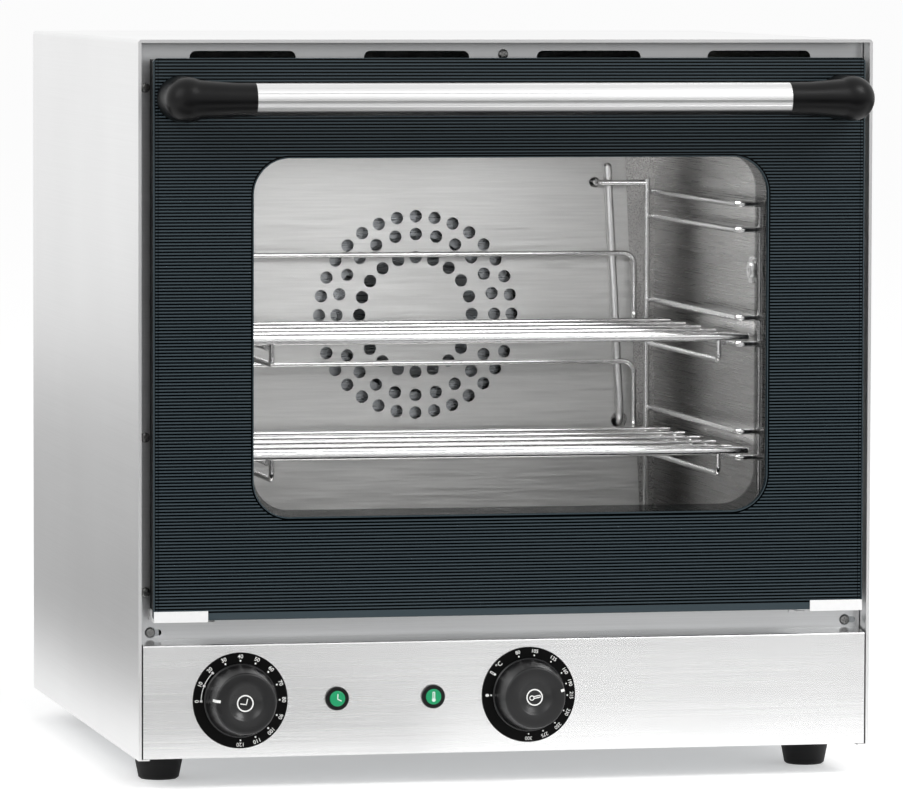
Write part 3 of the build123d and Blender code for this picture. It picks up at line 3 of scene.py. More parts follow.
import bpy
from mathutils import Matrix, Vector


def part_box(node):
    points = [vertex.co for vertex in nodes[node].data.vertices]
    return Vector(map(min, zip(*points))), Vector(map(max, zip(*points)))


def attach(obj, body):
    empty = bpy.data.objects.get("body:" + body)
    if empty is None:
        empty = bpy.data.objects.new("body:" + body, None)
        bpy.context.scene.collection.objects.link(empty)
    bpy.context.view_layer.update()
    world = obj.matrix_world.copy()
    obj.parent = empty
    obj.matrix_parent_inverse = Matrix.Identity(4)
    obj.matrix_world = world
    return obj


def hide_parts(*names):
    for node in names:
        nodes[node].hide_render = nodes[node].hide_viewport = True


# A countertop convection oven with a glass door, dressed round its engineering frame.
# Metres. X runs to the right, Y to the back and Z up, and the feet stand at Z = 0.
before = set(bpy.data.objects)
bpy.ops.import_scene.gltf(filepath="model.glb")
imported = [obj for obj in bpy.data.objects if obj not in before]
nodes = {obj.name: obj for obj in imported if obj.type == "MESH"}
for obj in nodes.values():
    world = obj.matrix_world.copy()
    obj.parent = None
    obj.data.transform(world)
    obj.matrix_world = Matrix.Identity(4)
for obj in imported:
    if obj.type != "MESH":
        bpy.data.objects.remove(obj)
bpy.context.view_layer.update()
bpy.ops.object.select_all(action="DESELECT")

# Camera: stands in front of the oven, to its left and a little above its middle,
# with a long lens.
camera_place = (-1.1853, -5.5259, 0.6678)
camera_yaw = 0.2125
camera_pitch = 0.0669
camera_roll = 0.0027
camera_data = bpy.data.cameras.new("camera")
camera_data.lens = 272.55
camera_data.sensor_width = 36
camera = bpy.data.objects.new("camera", camera_data)
bpy.context.scene.collection.objects.link(camera)
camera.matrix_world = (
    Matrix.Translation(camera_place)
    @ Matrix.Rotation(-camera_yaw, 4, "Z")
    @ Matrix.Rotation(pi / 2 - camera_pitch, 4, "X")
    @ Matrix.Rotation(camera_roll, 4, "Z")
)
bpy.context.scene.camera = camera

# Outer casing: one folded wrap of stainless steel sheet, hemmed at its front edge.
# The sheet is finely brushed, which draws faint streaks along it and softens what it
# mirrors.
def linear(code, alpha=1.0):
    """An sRGB hex colour as the linear colour that the shaders take."""
    shares = [int(code[i : i + 2], 16) / 255 for i in (1, 3, 5)]
    return [s / 12.92 if s <= 0.04045 else ((s + 0.055) / 1.055) ** 2.4 for s in shares] + [alpha]


def add_node(tree, kind, inputs=None, **settings):
    """Adds a shader node with its settings, and sets or links its inputs."""
    made = tree.nodes.new(kind)
    for name, value in settings.items():
        setattr(made, name, value)
    for name, value in (inputs or {}).items():
        if isinstance(value, bpy.types.NodeSocket):
            tree.links.new(value, made.inputs[name])
        else:
            made.inputs[name].default_value = value
    return made


def new_material(name):
    """A material with one Principled shader, as (material, tree, shader)."""
    material = bpy.data.materials.new(name)
    material.use_nodes = True
    tree = material.node_tree
    tree.nodes.clear()
    shader = add_node(tree, "ShaderNodeBsdfPrincipled")
    add_node(tree, "ShaderNodeOutputMaterial", {"Surface": shader.outputs[0]})
    return material, tree, shader


def streaks(tree, grain, length, along, detail=3.0):
    """A noise drawn out along one axis: grain and length are real sizes in metres."""
    place = add_node(tree, "ShaderNodeTexCoord")
    scale = [1 / (length if axis == along else grain) for axis in "XYZ"]
    turned = add_node(
        tree, "ShaderNodeMapping", {"Vector": place.outputs["Object"], "Scale": scale}
    )
    return add_node(
        tree, "ShaderNodeTexNoise", {"Vector": turned.outputs[0], "Scale": 1.0, "Detail": detail}
    ).outputs["Fac"]


def brushed_metal(name, light, dark, roughness, grain, length, along, depth=0.00001, spread=0.08):
    """Sheet metal brushed along one axis, its streaks a little lighter and darker."""
    material, tree, shader = new_material(name)
    noise = streaks(tree, grain, length, along)
    cloud = add_node(tree, "ShaderNodeTexNoise", {
        "Vector": add_node(tree, "ShaderNodeTexCoord").outputs["Object"], "Scale": 5.0,
    }).outputs["Fac"]
    both = add_node(tree, "ShaderNodeMath", {0: noise, 1: cloud}, operation="ADD").outputs[0]
    share = add_node(
        tree, "ShaderNodeMapRange", {"Value": both, "From Min": 0.7, "From Max": 1.3}
    ).outputs[0]
    colour = add_node(
        tree,
        "ShaderNodeMix",
        {"Factor": share, 6: linear(dark), 7: linear(light)},
        data_type="RGBA",
    )
    rough = add_node(tree, "ShaderNodeMapRange", {
        "Value": noise, "From Min": 0.3, "From Max": 0.7,
        "To Min": roughness - spread, "To Max": roughness + spread,
    })
    bump = add_node(
        tree, "ShaderNodeBump", {"Height": noise, "Strength": 0.35, "Distance": depth}
    )
    tree.links.new(colour.outputs[2], shader.inputs["Base Color"])
    tree.links.new(rough.outputs[0], shader.inputs["Roughness"])
    tree.links.new(bump.outputs[0], shader.inputs["Normal"])
    shader.inputs["Metallic"].default_value = 1.0
    return material


def dress(material, *names):
    """Gives these frame parts a material."""
    for name in names:
        slots = nodes[name].data.materials
        slots.clear()
        slots.append(material)


casing_steel = brushed_metal(
    "brushed_stainless_casing", "#F1F1F1", "#EAEAEA", 0.32, 0.0008, 0.30, "Y",
    depth=0.000002, spread=0.02,
)
dress(casing_steel, "outer_casing")

# Base tray, front posts, partition, motor mount and rear panel: pressed from
# galvanised steel sheet, which is duller and shows the soft flakes of its zinc.
def galvanised_metal(name, light, dark, flake):
    """Zinc-coated sheet: flat crystals of a few millimetres, each turned its own way."""
    material, tree, shader = new_material(name)
    place = add_node(tree, "ShaderNodeTexCoord").outputs["Object"]
    flakes = add_node(tree, "ShaderNodeTexVoronoi", {"Vector": place, "Scale": 1 / flake})
    tone = add_node(tree, "ShaderNodeSeparateColor", {0: flakes.outputs["Color"]}).outputs[0]
    colour = add_node(
        tree,
        "ShaderNodeMix",
        {"Factor": tone, 6: linear(dark), 7: linear(light)},
        data_type="RGBA",
    )
    rough = add_node(tree, "ShaderNodeMapRange", {"Value": tone, "To Min": 0.38, "To Max": 0.5})
    tree.links.new(colour.outputs[2], shader.inputs["Base Color"])
    tree.links.new(rough.outputs[0], shader.inputs["Roughness"])
    shader.inputs["Metallic"].default_value = 1.0
    return material


zinc_sheet = galvanised_metal("galvanised_sheet", "#C2C5C7", "#A9ADB0", 0.006)
dress(
    zinc_sheet,
    "base_tray",
    "front_posts",
    "partition",
    "motor_mount",
    "rear_panel",
    "top_cleat",
)

# Feet: four tapered blocks of black rubber, moulded round their studs. Moulded rubber
# is matte, with a fine grain.
def grained(name, colour, roughness, grain, depth, gloss=0.3, spread=0.06):
    """A moulded surface: one colour with a fine grain in its gloss and its height."""
    material, tree, shader = new_material(name)
    place = add_node(tree, "ShaderNodeTexCoord").outputs["Object"]
    fine = add_node(
        tree, "ShaderNodeTexNoise", {"Vector": place, "Scale": 1 / grain, "Detail": 2.0}
    )
    broad = add_node(tree, "ShaderNodeTexNoise", {"Vector": place, "Scale": 35.0})
    rough = add_node(tree, "ShaderNodeMapRange", {
        "Value": broad.outputs["Fac"], "From Min": 0.3, "From Max": 0.7,
        "To Min": roughness - spread, "To Max": roughness + spread,
    })
    bump = add_node(
        tree,
        "ShaderNodeBump",
        {"Height": fine.outputs["Fac"], "Strength": 0.4, "Distance": depth},
    )
    tree.links.new(rough.outputs[0], shader.inputs["Roughness"])
    tree.links.new(bump.outputs[0], shader.inputs["Normal"])
    shader.inputs["Base Color"].default_value = linear(colour)
    shader.inputs["Specular IOR Level"].default_value = gloss
    return material


foot_rubber = grained("moulded_black_rubber", "#0C0C0D", 0.62, 0.0006, 0.00004)
dress(foot_rubber, "feet")

# Front frame and hinge ears: a stainless plate set back behind the casing's front edge,
# with a satin brush across it. Its base colour is set darker than the casing's, as painted shade
# for its recess.
frame_steel = brushed_metal(
    "satin_stainless_frame", "#DADBDC", "#D0D1D2", 0.34, 0.0008, 0.20, "X",
    depth=0.000002, spread=0.02,
)
dress(frame_steel, "front_frame", "hinge_ears")

# Chamber: a deep drawn box of bright stainless steel with its fan baffle, spacers and
# steam pipe. The brush runs across the back wall, and the side walls are near mirrors.
chamber_steel = brushed_metal(
    "bright_stainless_chamber", "#E4E4E3", "#D2D2D1", 0.40, 0.0016, 0.05, "X", spread=0.08
)
wall_steel = brushed_metal(
    "bright_stainless_walls", "#CFCECD", "#C1C0BF", 0.28, 0.0010, 0.10, "Y", spread=0.04
)
dress(chamber_steel, "fan_baffle", "baffle_spacers", "steam_outlet")
dress(wall_steel, "cavity_liner", "chamber_floor")

# Mineral wool round the chamber: pale matted fibre, seen only through the air slots.
wool, wool_tree, wool_shader = new_material("mineral_wool")
wool_place = add_node(wool_tree, "ShaderNodeTexCoord").outputs["Object"]
wool_fibre = add_node(
    wool_tree, "ShaderNodeTexNoise", {"Vector": wool_place, "Scale": 600.0, "Detail": 4.0}
)
wool_colour = add_node(
    wool_tree,
    "ShaderNodeMix",
    {"Factor": wool_fibre.outputs["Fac"], 6: linear("#6B6450"), 7: linear("#A79E84")},
    data_type="RGBA",
)
wool_tree.links.new(wool_colour.outputs[2], wool_shader.inputs["Base Color"])
wool_shader.inputs["Roughness"].default_value = 0.95
dress(wool, "insulation")

# Fan group and heater behind the baffle: a stainless wheel, a pressed aluminium cooling
# wheel, a painted motor, and a tubular heater whose sheath has gone dark with heat. The
# controls' bodies are cream phenolic, and the gland at the back is black nylon.
dress(
    brushed_metal("stainless_fan_wheel", "#B4B7B9", "#9C9FA2", 0.30, 0.001, 0.02, "X"),
    "fan_wheel",
)
dress(
    brushed_metal("pressed_aluminium", "#C9CBCC", "#B5B7B9", 0.40, 0.001, 0.01, "Z"),
    "cooling_wheel",
)
dress(grained("baked_motor_enamel", "#33363A", 0.45, 0.0008, 0.00003), "fan_motor")
dress(
    brushed_metal("heat_darkened_sheath", "#6A625A", "#46413D", 0.42, 0.002, 0.01, "X"),
    "ring_heater",
)
cream_moulding = grained("phenolic_moulding_cream", "#CFC6AE", 0.5, 0.0009, 0.00003)
dress(cream_moulding, "timer_body", "thermostat_body", "terminal_block")
gland_nylon = grained("nylon_black", "#1B1B1C", 0.5, 0.0007, 0.00003)
dress(gland_nylon, "cable_gland", "gland_nut")

# Wire racks and shelves: round steel wire, bent and welded, then plated bright. Bright
# plate mirrors its surroundings, with a slight wave where it was drawn. Hinge brackets
# are blasted and zinc plated, and their nearly matte white colour is partly painted highlight.
def plated(name, light, dark, roughness, wave=0.004, depth=0.00002, metal=1.0):
    """Bright plating over drawn or turned steel."""
    material, tree, shader = new_material(name)
    place = add_node(tree, "ShaderNodeTexCoord").outputs["Object"]
    waves = add_node(tree, "ShaderNodeTexNoise", {"Vector": place, "Scale": 1 / wave})
    colour = add_node(
        tree,
        "ShaderNodeMix",
        {"Factor": waves.outputs["Fac"], 6: linear(dark), 7: linear(light)},
        data_type="RGBA",
    )
    bump = add_node(
        tree,
        "ShaderNodeBump",
        {"Height": waves.outputs["Fac"], "Strength": 0.3, "Distance": depth},
    )
    tree.links.new(colour.outputs[2], shader.inputs["Base Color"])
    tree.links.new(bump.outputs[0], shader.inputs["Normal"])
    shader.inputs["Metallic"].default_value = metal
    shader.inputs["Roughness"].default_value = roughness
    return material


bright_wire = plated("bright_plated_wire", "#E6E6E6", "#D6D6D6", 0.20, depth=0.000004)
dress(bright_wire, "side_rack_left", "side_rack_right", "shelf_upper", "shelf_lower")
# Partly painted highlight: the brackets' base colour is set near white.
bracket_zinc_and_highlight = plated("zinc_brackets_with_painted_highlight", "#FBFBFB", "#F4F4F4", 0.45, metal=0.5)
dress(bracket_zinc_and_highlight, "hinge_bracket_left", "hinge_bracket_right")
bright_fitting = plated("bright_plated_fittings", "#F2F2F2", "#E6E6E6", 0.3)
dress(bright_fitting, "hinge_pins", "rack_nuts", "temperature_bulb")
zinc_plate = plated(
    "zinc_plated_fasteners", "#9A9A99", "#838382", 0.28, wave=0.002, depth=0.000004
)
dress(
    zinc_plate,
    "baffle_screws",
    "foot_bolts",
    "handle_screws",
    "handle_washers",
    "fan_nut",
    "timer_spindle",
    "thermostat_spindle",
    "fan_shaft",
)

# Door gasket: a grey silicone ring round the oven's mouth, extruded and matte.
dress(grained("extruded_silicone", "#2A2B2C", 0.6, 0.001, 0.00004), "door_gasket")

# Door panes: float glass. The outer pane is screen printed in black round its window,
# with fine slate lines over the print. The inner pane has painted shade: a dark, half-clear band
# round its window.
window_middle = 0.3570
window_half_width = 0.2080
window_half_height = 0.1412
window_corner = 0.0290
inner_middle = 0.3600
inner_half_width = 0.2040
inner_half_height = 0.1404
inner_corner = 0.0280
line_pitch = 0.00255
line_share = 0.46
line_end = 0.2862
rim_start = 0.2868
rim_end = 0.2879
column_start = 0.2838
column_end = 0.2843
window_line = 0.0009
window_black = 0.0022
foot_band = 0.0055
glass_bend = 1.5
glass_gloss = 0.3
pane_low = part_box("outer_glass")[0]


def window_distance(tree, middle, half_width, half_height, corner):
    """How far a point of a pane lies outside its round-cornered window."""
    reach = add_node(tree, "ShaderNodeTexCoord").outputs["Object"]
    for operation, operand in (
        ("SUBTRACT", (0, 0, middle)),
        ("ABSOLUTE", (0, 0, 0)),
        ("SUBTRACT", (half_width - corner, 1, half_height - corner)),
        ("MAXIMUM", (0, 0, 0)),
    ):
        reach = add_node(
            tree, "ShaderNodeVectorMath", {0: reach, 1: operand}, operation=operation
        ).outputs[0]
    length = add_node(tree, "ShaderNodeVectorMath", {0: reach}, operation="LENGTH")
    return add_node(
        tree, "ShaderNodeMath", {0: length.outputs["Value"], 1: corner}, operation="SUBTRACT"
    ).outputs[0]


def with_window(tree, printed, print_shader):
    """A pane: its print, or on the inner pane its painted shade, where that is 1, and clear glass
    with a slanting gleam elsewhere.
    """
    back = add_node(tree, "ShaderNodeNewGeometry").outputs["Backfacing"]
    bend = add_node(
        tree,
        "ShaderNodeMapRange",
        {"Value": back, "To Min": glass_bend, "To Max": 1 / glass_bend},
    )
    mirror = add_node(tree, "ShaderNodeFresnel", {"IOR": bend.outputs[0]})
    share = add_node(
        tree, "ShaderNodeMath", {0: mirror.outputs[0], 1: glass_gloss}, operation="MULTIPLY"
    )
    through = add_node(tree, "ShaderNodeBsdfTransparent", {"Color": linear("#FEFEFE")})
    gleam = add_node(tree, "ShaderNodeBsdfGlossy", {"Roughness": 0.02})
    clear = add_node(
        tree,
        "ShaderNodeMixShader",
        {0: share.outputs[0], 1: through.outputs[0], 2: gleam.outputs[0]},
    )
    pane = add_node(
        tree,
        "ShaderNodeMixShader",
        {0: printed, 1: clear.outputs[0], 2: print_shader.outputs[0]},
    )
    tree.links.new(pane.outputs[0], tree.nodes["Material Output"].inputs["Surface"])


outer_pane, outer_tree, print_shader = new_material("screen_printed_float_glass")
pane_place = add_node(outer_tree, "ShaderNodeTexCoord").outputs["Object"]
pane_axes = add_node(outer_tree, "ShaderNodeSeparateXYZ", {0: pane_place})
masks = {
    "across": pane_axes.outputs["X"],
    "height": pane_axes.outputs["Z"],
    "distance": window_distance(
        outer_tree, window_middle, window_half_width, window_half_height, window_corner
    ),
}
for name, operation, first, second in (
    ("row", "DIVIDE", "height", line_pitch),
    ("beat", "FRACT", "row", 0.0),
    ("on_line", "LESS_THAN", "beat", line_share),
    ("aside", "ABSOLUTE", "across", 0.0),
    ("in_lines", "LESS_THAN", "aside", line_end),
    ("before_column", "LESS_THAN", "aside", column_start),
    ("past_column", "GREATER_THAN", "aside", column_end),
    ("off_column", "MAXIMUM", "before_column", "past_column"),
    ("off_window", "GREATER_THAN", "distance", window_black),
    ("row_lines", "MULTIPLY", "on_line", "in_lines"),
    ("open_lines", "MULTIPLY", "row_lines", "off_window"),
    ("lines", "MULTIPLY", "open_lines", "off_column"),
    ("past_rim_start", "GREATER_THAN", "aside", rim_start),
    ("before_rim_end", "LESS_THAN", "aside", rim_end),
    ("rim", "MULTIPLY", "past_rim_start", "before_rim_end"),
    ("at_foot", "LESS_THAN", "height", pane_low.z + foot_band),
    ("foot", "MULTIPLY", "at_foot", "in_lines"),
    ("edge", "LESS_THAN", "distance", window_line),
    ("lines_and_rim", "MAXIMUM", "lines", "rim"),
    ("foot_and_edge", "MAXIMUM", "foot", "edge"),
    ("slate", "MAXIMUM", "lines_and_rim", "foot_and_edge"),
    ("printed", "GREATER_THAN", "distance", 0.0),
):
    masks[name] = add_node(
        outer_tree,
        "ShaderNodeMath",
        {0: masks[first], 1: masks.get(second, second)},
        operation=operation,
    ).outputs[0]
print_colour = add_node(
    outer_tree,
    "ShaderNodeMix",
    {"Factor": masks["slate"], 6: linear("#010304"), 7: linear("#3D474C")},
    data_type="RGBA",
)
outer_tree.links.new(print_colour.outputs[2], print_shader.inputs["Base Color"])
print_shader.inputs["Roughness"].default_value = 0.12
print_shader.inputs["Specular IOR Level"].default_value = 0.1
with_window(outer_tree, masks["printed"], print_shader)
dress(outer_pane, "outer_glass")

inner_pane, inner_tree, border_shade_shader = new_material("float_glass_painted_border_shade")
border_shade_distance = window_distance(
    inner_tree, inner_middle, inner_half_width, inner_half_height, inner_corner
)
painted_border_shade = add_node(
    inner_tree, "ShaderNodeMath", {0: border_shade_distance, 1: 0.0}, operation="GREATER_THAN"
)
# Painted shade: a dark grey band, 40 % opaque, round the inner pane's window.
border_shade_shader.inputs["Base Color"].default_value = linear("#1C1E1F")
border_shade_shader.inputs["Roughness"].default_value = 0.15
border_shade_shader.inputs["Specular IOR Level"].default_value = 0.15
border_shade_shader.inputs["Alpha"].default_value = 0.40
with_window(inner_tree, painted_border_shade.outputs[0], border_shade_shader)
dress(inner_pane, "inner_glass")

# Door rails: painted steel channels between the panes, in matte black.
dress(
    grained("powder_coated_black", "#141516", 0.55, 0.0012, 0.00005),
    "door_side_rails",
    "door_cross_rails",
)

# Handle bar: a drawn aluminium tube, anodised satin, with fine lengthwise lines from
# the die. Painted shade darkens its base colour along its lower side.
handle_metal = brushed_metal(
    "anodised_aluminium_handle", "#E8E8E8", "#DDDDDD", 0.34, 0.0005, 0.40, "X",
    depth=0.000002, spread=0.02,
)
handle_tree = handle_metal.node_tree
handle_shader = handle_tree.nodes["Principled BSDF"]
bar_low, bar_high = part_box("handle_bar")
bar_radius = (bar_high.z - bar_low.z) / 2
bar_y = (bar_low.y + bar_high.y) / 2
bar_z = (bar_low.z + bar_high.z) / 2
# Painted shade: the base colour fades to dark grey from 5.8 mm to 9.8 mm below the bar's middle.
painted_shade_top = 0.0058
painted_shade_foot = 0.0098
bar_height = add_node(
    handle_tree,
    "ShaderNodeSeparateXYZ",
    {0: add_node(handle_tree, "ShaderNodeTexCoord").outputs["Object"]},
).outputs["Z"]
painted_shade_share = add_node(
    handle_tree,
    "ShaderNodeMapRange",
    {"Value": bar_height, "From Min": bar_z - painted_shade_top, "From Max": bar_z - painted_shade_foot},
)
drawn_colour = handle_shader.inputs["Base Color"].links[0].from_socket
painted_shade_colour = add_node(
    handle_tree,
    "ShaderNodeMix",
    {"Factor": painted_shade_share.outputs[0], 6: drawn_colour, 7: linear("#2C2D2E")},
    data_type="RGBA",
)
handle_tree.links.new(painted_shade_colour.outputs[2], handle_shader.inputs["Base Color"])

# Handle caps: one moulded nylon shape each, in which a round leg from the glass swells
# softly into the neck that takes the bar. A leg and a neck are joined, remeshed as one
# skin and smoothed, then cut flat at the glass and at the bar's end.
smooth_angle = radians(40)


def pick(piece):
    """Makes one object the only chosen one."""
    bpy.ops.object.select_all(action="DESELECT")
    piece.select_set(True)
    bpy.context.view_layer.objects.active = piece


def settle(piece, name, body, material, place=None):
    """Names a piece, puts its place into its mesh, and ties it to its body and slot."""
    piece.name = name
    if place is not None:
        piece.matrix_world = place @ piece.matrix_world
    pick(piece)
    bpy.ops.object.transform_apply(location=True, rotation=True, scale=True)
    piece.data.materials.clear()
    piece.data.materials.append(material)
    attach(piece, body)


def joined(pieces):
    """Several objects as one."""
    bpy.ops.object.select_all(action="DESELECT")
    for piece in pieces:
        piece.select_set(True)
    bpy.context.view_layer.objects.active = pieces[0]
    bpy.ops.object.join()
    return bpy.context.object


def turned(rings, segments=96, filled=True, anchor=0.0):
    """A skin turned round Z through these (radius, height) pairs.

    An anchor off the axis is the side on which all the rings touch.
    """
    first_radius, first_height = rings[0]
    bpy.ops.object.select_all(action="DESELECT")
    bpy.ops.mesh.primitive_circle_add(
        vertices=segments,
        radius=first_radius,
        fill_type="NGON" if filled else "NOTHING",
        location=(0, 0, first_height),
    )
    bpy.ops.object.transform_apply(location=True, rotation=False, scale=False)
    bpy.ops.object.mode_set(mode="EDIT")
    bpy.ops.mesh.select_all(action="SELECT")
    for (last_radius, last_height), (radius, height) in zip(rings, rings[1:]):
        rise = (0, 0, height - last_height)
        bpy.ops.mesh.extrude_region_move(TRANSFORM_OT_translate={"value": rise})
        growth = radius / last_radius
        bpy.ops.transform.resize(
            value=(growth, growth, 1), center_override=(0, anchor, height)
        )
    bpy.ops.mesh.select_all(action="SELECT")
    bpy.ops.mesh.normals_make_consistent(inside=False)
    bpy.ops.object.mode_set(mode="OBJECT")
    bpy.ops.object.shade_smooth_by_angle(angle=smooth_angle)
    return bpy.context.object


def arc(radius, height, size, start, end, steps=6):
    """(radius, height) pairs round a corner, from one angle to another in degrees."""
    angles = [radians(start + (end - start) * step / steps) for step in range(steps + 1)]
    return [(radius + size * cos(angle), height + size * sin(angle)) for angle in angles]


def cut_flat(piece, point, outward, closed=True):
    """Cuts off what lies beyond a plane, and closes the cut."""
    pick(piece)
    bpy.ops.object.mode_set(mode="EDIT")
    bpy.ops.mesh.select_all(action="SELECT")
    bpy.ops.mesh.bisect(
        plane_co=point, plane_no=outward, use_fill=closed, clear_outer=True
    )
    bpy.ops.object.mode_set(mode="OBJECT")


cap_plastic = grained("moulded_nylon_caps", "#040405", 0.34, 0.0006, 0.00002, gloss=0.2)
cap_voxel = 0.0011
cap_overrun = 0.012
cap_softness = 0.6
cap_smoothing = 14
crown_radius = 0.0165
neck_rings = ((1.03, 0), (1.04, 0.45), (1.15, 0.72), (1.25, 1))
for side, name in ((-1, "handle_cap_left"), (1, "handle_cap_right")):
    cap_low, cap_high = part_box(name)
    bar_end = bar_high.x if side > 0 else bar_low.x
    leg_radius = (cap_high.z - cap_low.z) / 2
    leg_x = cap_high.x - leg_radius if side > 0 else cap_low.x + leg_radius
    leg_length = pane_low.y - cap_low.y
    leg = turned(
        [(leg_radius, -cap_overrun), (leg_radius, leg_length / 3)]
        + arc(leg_radius - crown_radius, leg_length - crown_radius, crown_radius, 0, 86, 8)
    )
    leg.matrix_world = Matrix.Translation((leg_x, pane_low.y, bar_z)) @ Matrix.Rotation(
        pi / 2, 4, "X"
    )
    neck_length = abs(leg_x - bar_end) + cap_overrun
    neck = turned(
        [(bar_radius * width, neck_length * reach) for width, reach in neck_rings],
        anchor=-bar_radius * neck_rings[0][0],
    )
    neck_start = (leg_x - side * neck_length, bar_y, bar_z)
    neck.matrix_world = Matrix.Translation(neck_start) @ Matrix.Rotation(
        side * pi / 2, 4, "Y"
    )
    cap = joined([leg, neck])
    bpy.ops.object.transform_apply(location=True, rotation=True, scale=True)
    skin = cap.modifiers.new("one_skin", "REMESH")
    skin.mode = "VOXEL"
    skin.voxel_size = cap_voxel
    skin.use_smooth_shade = True
    bpy.ops.object.modifier_apply(modifier=skin.name)
    soft = cap.modifiers.new("soft", "SMOOTH")
    soft.factor = cap_softness
    soft.iterations = cap_smoothing
    bpy.ops.object.modifier_apply(modifier=soft.name)
    cut_flat(cap, (bar_end, 0, 0), (-side, 0, 0))
    cut_flat(cap, (0, pane_low.y, 0), (0, 1, 0))
    bpy.ops.object.shade_smooth_by_angle(angle=radians(50))
    settle(cap, name + "_skin", "door", cap_plastic)
    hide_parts(name)

# Grooves of the handle bar: sixteen shallow V grooves run along it, 0.35 mm deep. One
# ring is drawn out to the bar's length, and capped by the caps at both ends.
groove_count = 16
groove_steps = 12
groove_depth = 0.00035
bpy.ops.object.select_all(action="DESELECT")
bpy.ops.mesh.primitive_circle_add(vertices=groove_count * groove_steps, radius=bar_radius)
grooved = bpy.context.object
bpy.ops.object.mode_set(mode="EDIT")
bpy.ops.mesh.select_mode(type="VERT")
bpy.ops.mesh.select_all(action="DESELECT")
bpy.ops.object.mode_set(mode="OBJECT")
for corner in range(0, groove_count * groove_steps, groove_steps):
    grooved.data.vertices[corner].select = True
bpy.ops.object.mode_set(mode="EDIT")
shrink = 1 - groove_depth / bar_radius
bpy.ops.transform.resize(value=(shrink, shrink, 1), center_override=(0, 0, 0))
bpy.ops.mesh.select_all(action="SELECT")
bpy.ops.mesh.edge_face_add()
bpy.ops.mesh.extrude_region_move(
    TRANSFORM_OT_translate={"value": (0, 0, bar_high.x - bar_low.x)}
)
bpy.ops.mesh.select_all(action="SELECT")
bpy.ops.mesh.normals_make_consistent(inside=False)
bpy.ops.object.mode_set(mode="OBJECT")
bpy.ops.object.shade_smooth_by_angle(angle=radians(12))
bar_place = Matrix.Translation((bar_low.x, bar_y, bar_z)) @ Matrix.Rotation(pi / 2, 4, "Y")
settle(grooved, "handle_bar_grooved", "door", handle_metal, bar_place)
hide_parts("handle_bar")

# Screws: pan heads with a cross recess, in the frame and in the rear panel. One head is
# turned and its cross cut out, and copies of it stand at every screw's place, each
# driven home at an angle of its own.
head_radius = 0.0040
head_height = 0.0024
head_sink = 0.0008
cross_length = 0.0050
cross_width = 0.0011
cross_depth = 0.0013
side_screw_x = 0.288
side_screw_heights = (0.155, 0.2775, 0.553)
keyhole_screw_x = 0.284
keyhole_screw_height = 0.123
keyhole_depth = 0.0012
ear_screw_x = 0.263
ear_screw_height = 0.13675
ear_head_growth = 1.4
ear_plate = 0.0020
top_screw_height = 0.579
rear_screw_heights = (0.064, 0.224, 0.394)
rear_top_height = 0.584
rear_seat = 0.009
frame_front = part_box("front_frame")[0].y
rear_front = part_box("rear_screws")[0].y + rear_seat


def screw_head():
    """One cross-head screw head standing on the XY plane."""
    head = turned(
        [
            (head_radius * 0.5, -head_sink),
            (head_radius, 0.0),
            (head_radius, head_height * 0.4),
            (head_radius * 0.94, head_height * 0.7),
            (head_radius * 0.75, head_height * 0.92),
            (head_radius * 0.4, head_height),
            (head_radius * 0.05, head_height),
        ],
        segments=40,
    )
    for width, length in ((cross_width, cross_length), (cross_length, cross_width)):
        bpy.ops.mesh.primitive_cube_add(size=1, location=(0, 0, head_height))
        blade = bpy.context.object
        blade.scale = (width, length, 2 * cross_depth)
        bpy.ops.object.transform_apply(location=True, rotation=False, scale=True)
        cut = head.modifiers.new("cross", "BOOLEAN")
        cut.operation = "DIFFERENCE"
        cut.object = blade
        pick(head)
        bpy.ops.object.modifier_apply(modifier=cut.name)
        bpy.data.objects.remove(blade)
    return head


def screw_set(name, node, places, facing):
    """Copies of one screw head at these (x, y, z, growth, turn) places, as one piece."""
    first = screw_head()
    copies = []
    for x, y, z, growth, spin in places:
        pick(first)
        bpy.ops.object.duplicate()
        copy = bpy.context.object
        copy.matrix_world = (
            Matrix.Translation((x, y, z))
            @ Matrix.Rotation(facing * pi / 2, 4, "X")
            @ Matrix.Rotation(spin, 4, "Z")
            @ Matrix.Diagonal((growth, growth, 1, 1))
        )
        copies.append(copy)
    bpy.data.objects.remove(first)
    piece = joined(copies)
    settle(piece, name, "housing", zinc_plate)
    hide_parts(node)


frame_screws = [
    (side * side_screw_x, frame_front, height, 1.0, 0.5 + 0.7 * side + 9 * height)
    for side in (-1, 1)
    for height in side_screw_heights
]
for side in (-1, 1):
    keyhole_y = frame_front + keyhole_depth
    frame_screws.append((side * keyhole_screw_x, keyhole_y, keyhole_screw_height, 1.0, 0.3 * side))
for side in (-1, 1):
    ear_y = frame_front - ear_plate
    frame_screws.append((side * ear_screw_x, ear_y, ear_screw_height, ear_head_growth, 0.4))
frame_screws.append((0, frame_front, top_screw_height, 1.0, 0.9))
screw_set("frame_screw_heads", "frame_screws", frame_screws, 1)
rear_screws = [
    (side * side_screw_x, rear_front, height, 1.0, 0.6 + 11 * height)
    for side in (-1, 1)
    for height in rear_screw_heights
]
rear_screws += [
    (x, rear_front, rear_top_height, 1.0, 0.6 + 5 * x)
    for x in (-side_screw_x, 0, side_screw_x)
]
screw_set("rear_screw_heads", "rear_screws", rear_screws, -1)

# Control panel: a folded strip of stainless steel, brushed along its length.
dress(
    brushed_metal(
        "brushed_stainless_panel", "#FBFBFB", "#F1F1F1", 0.26, 0.0006, 0.16, "X",
        depth=0.000002, spread=0.02,
    ),
    "control_panel",
)

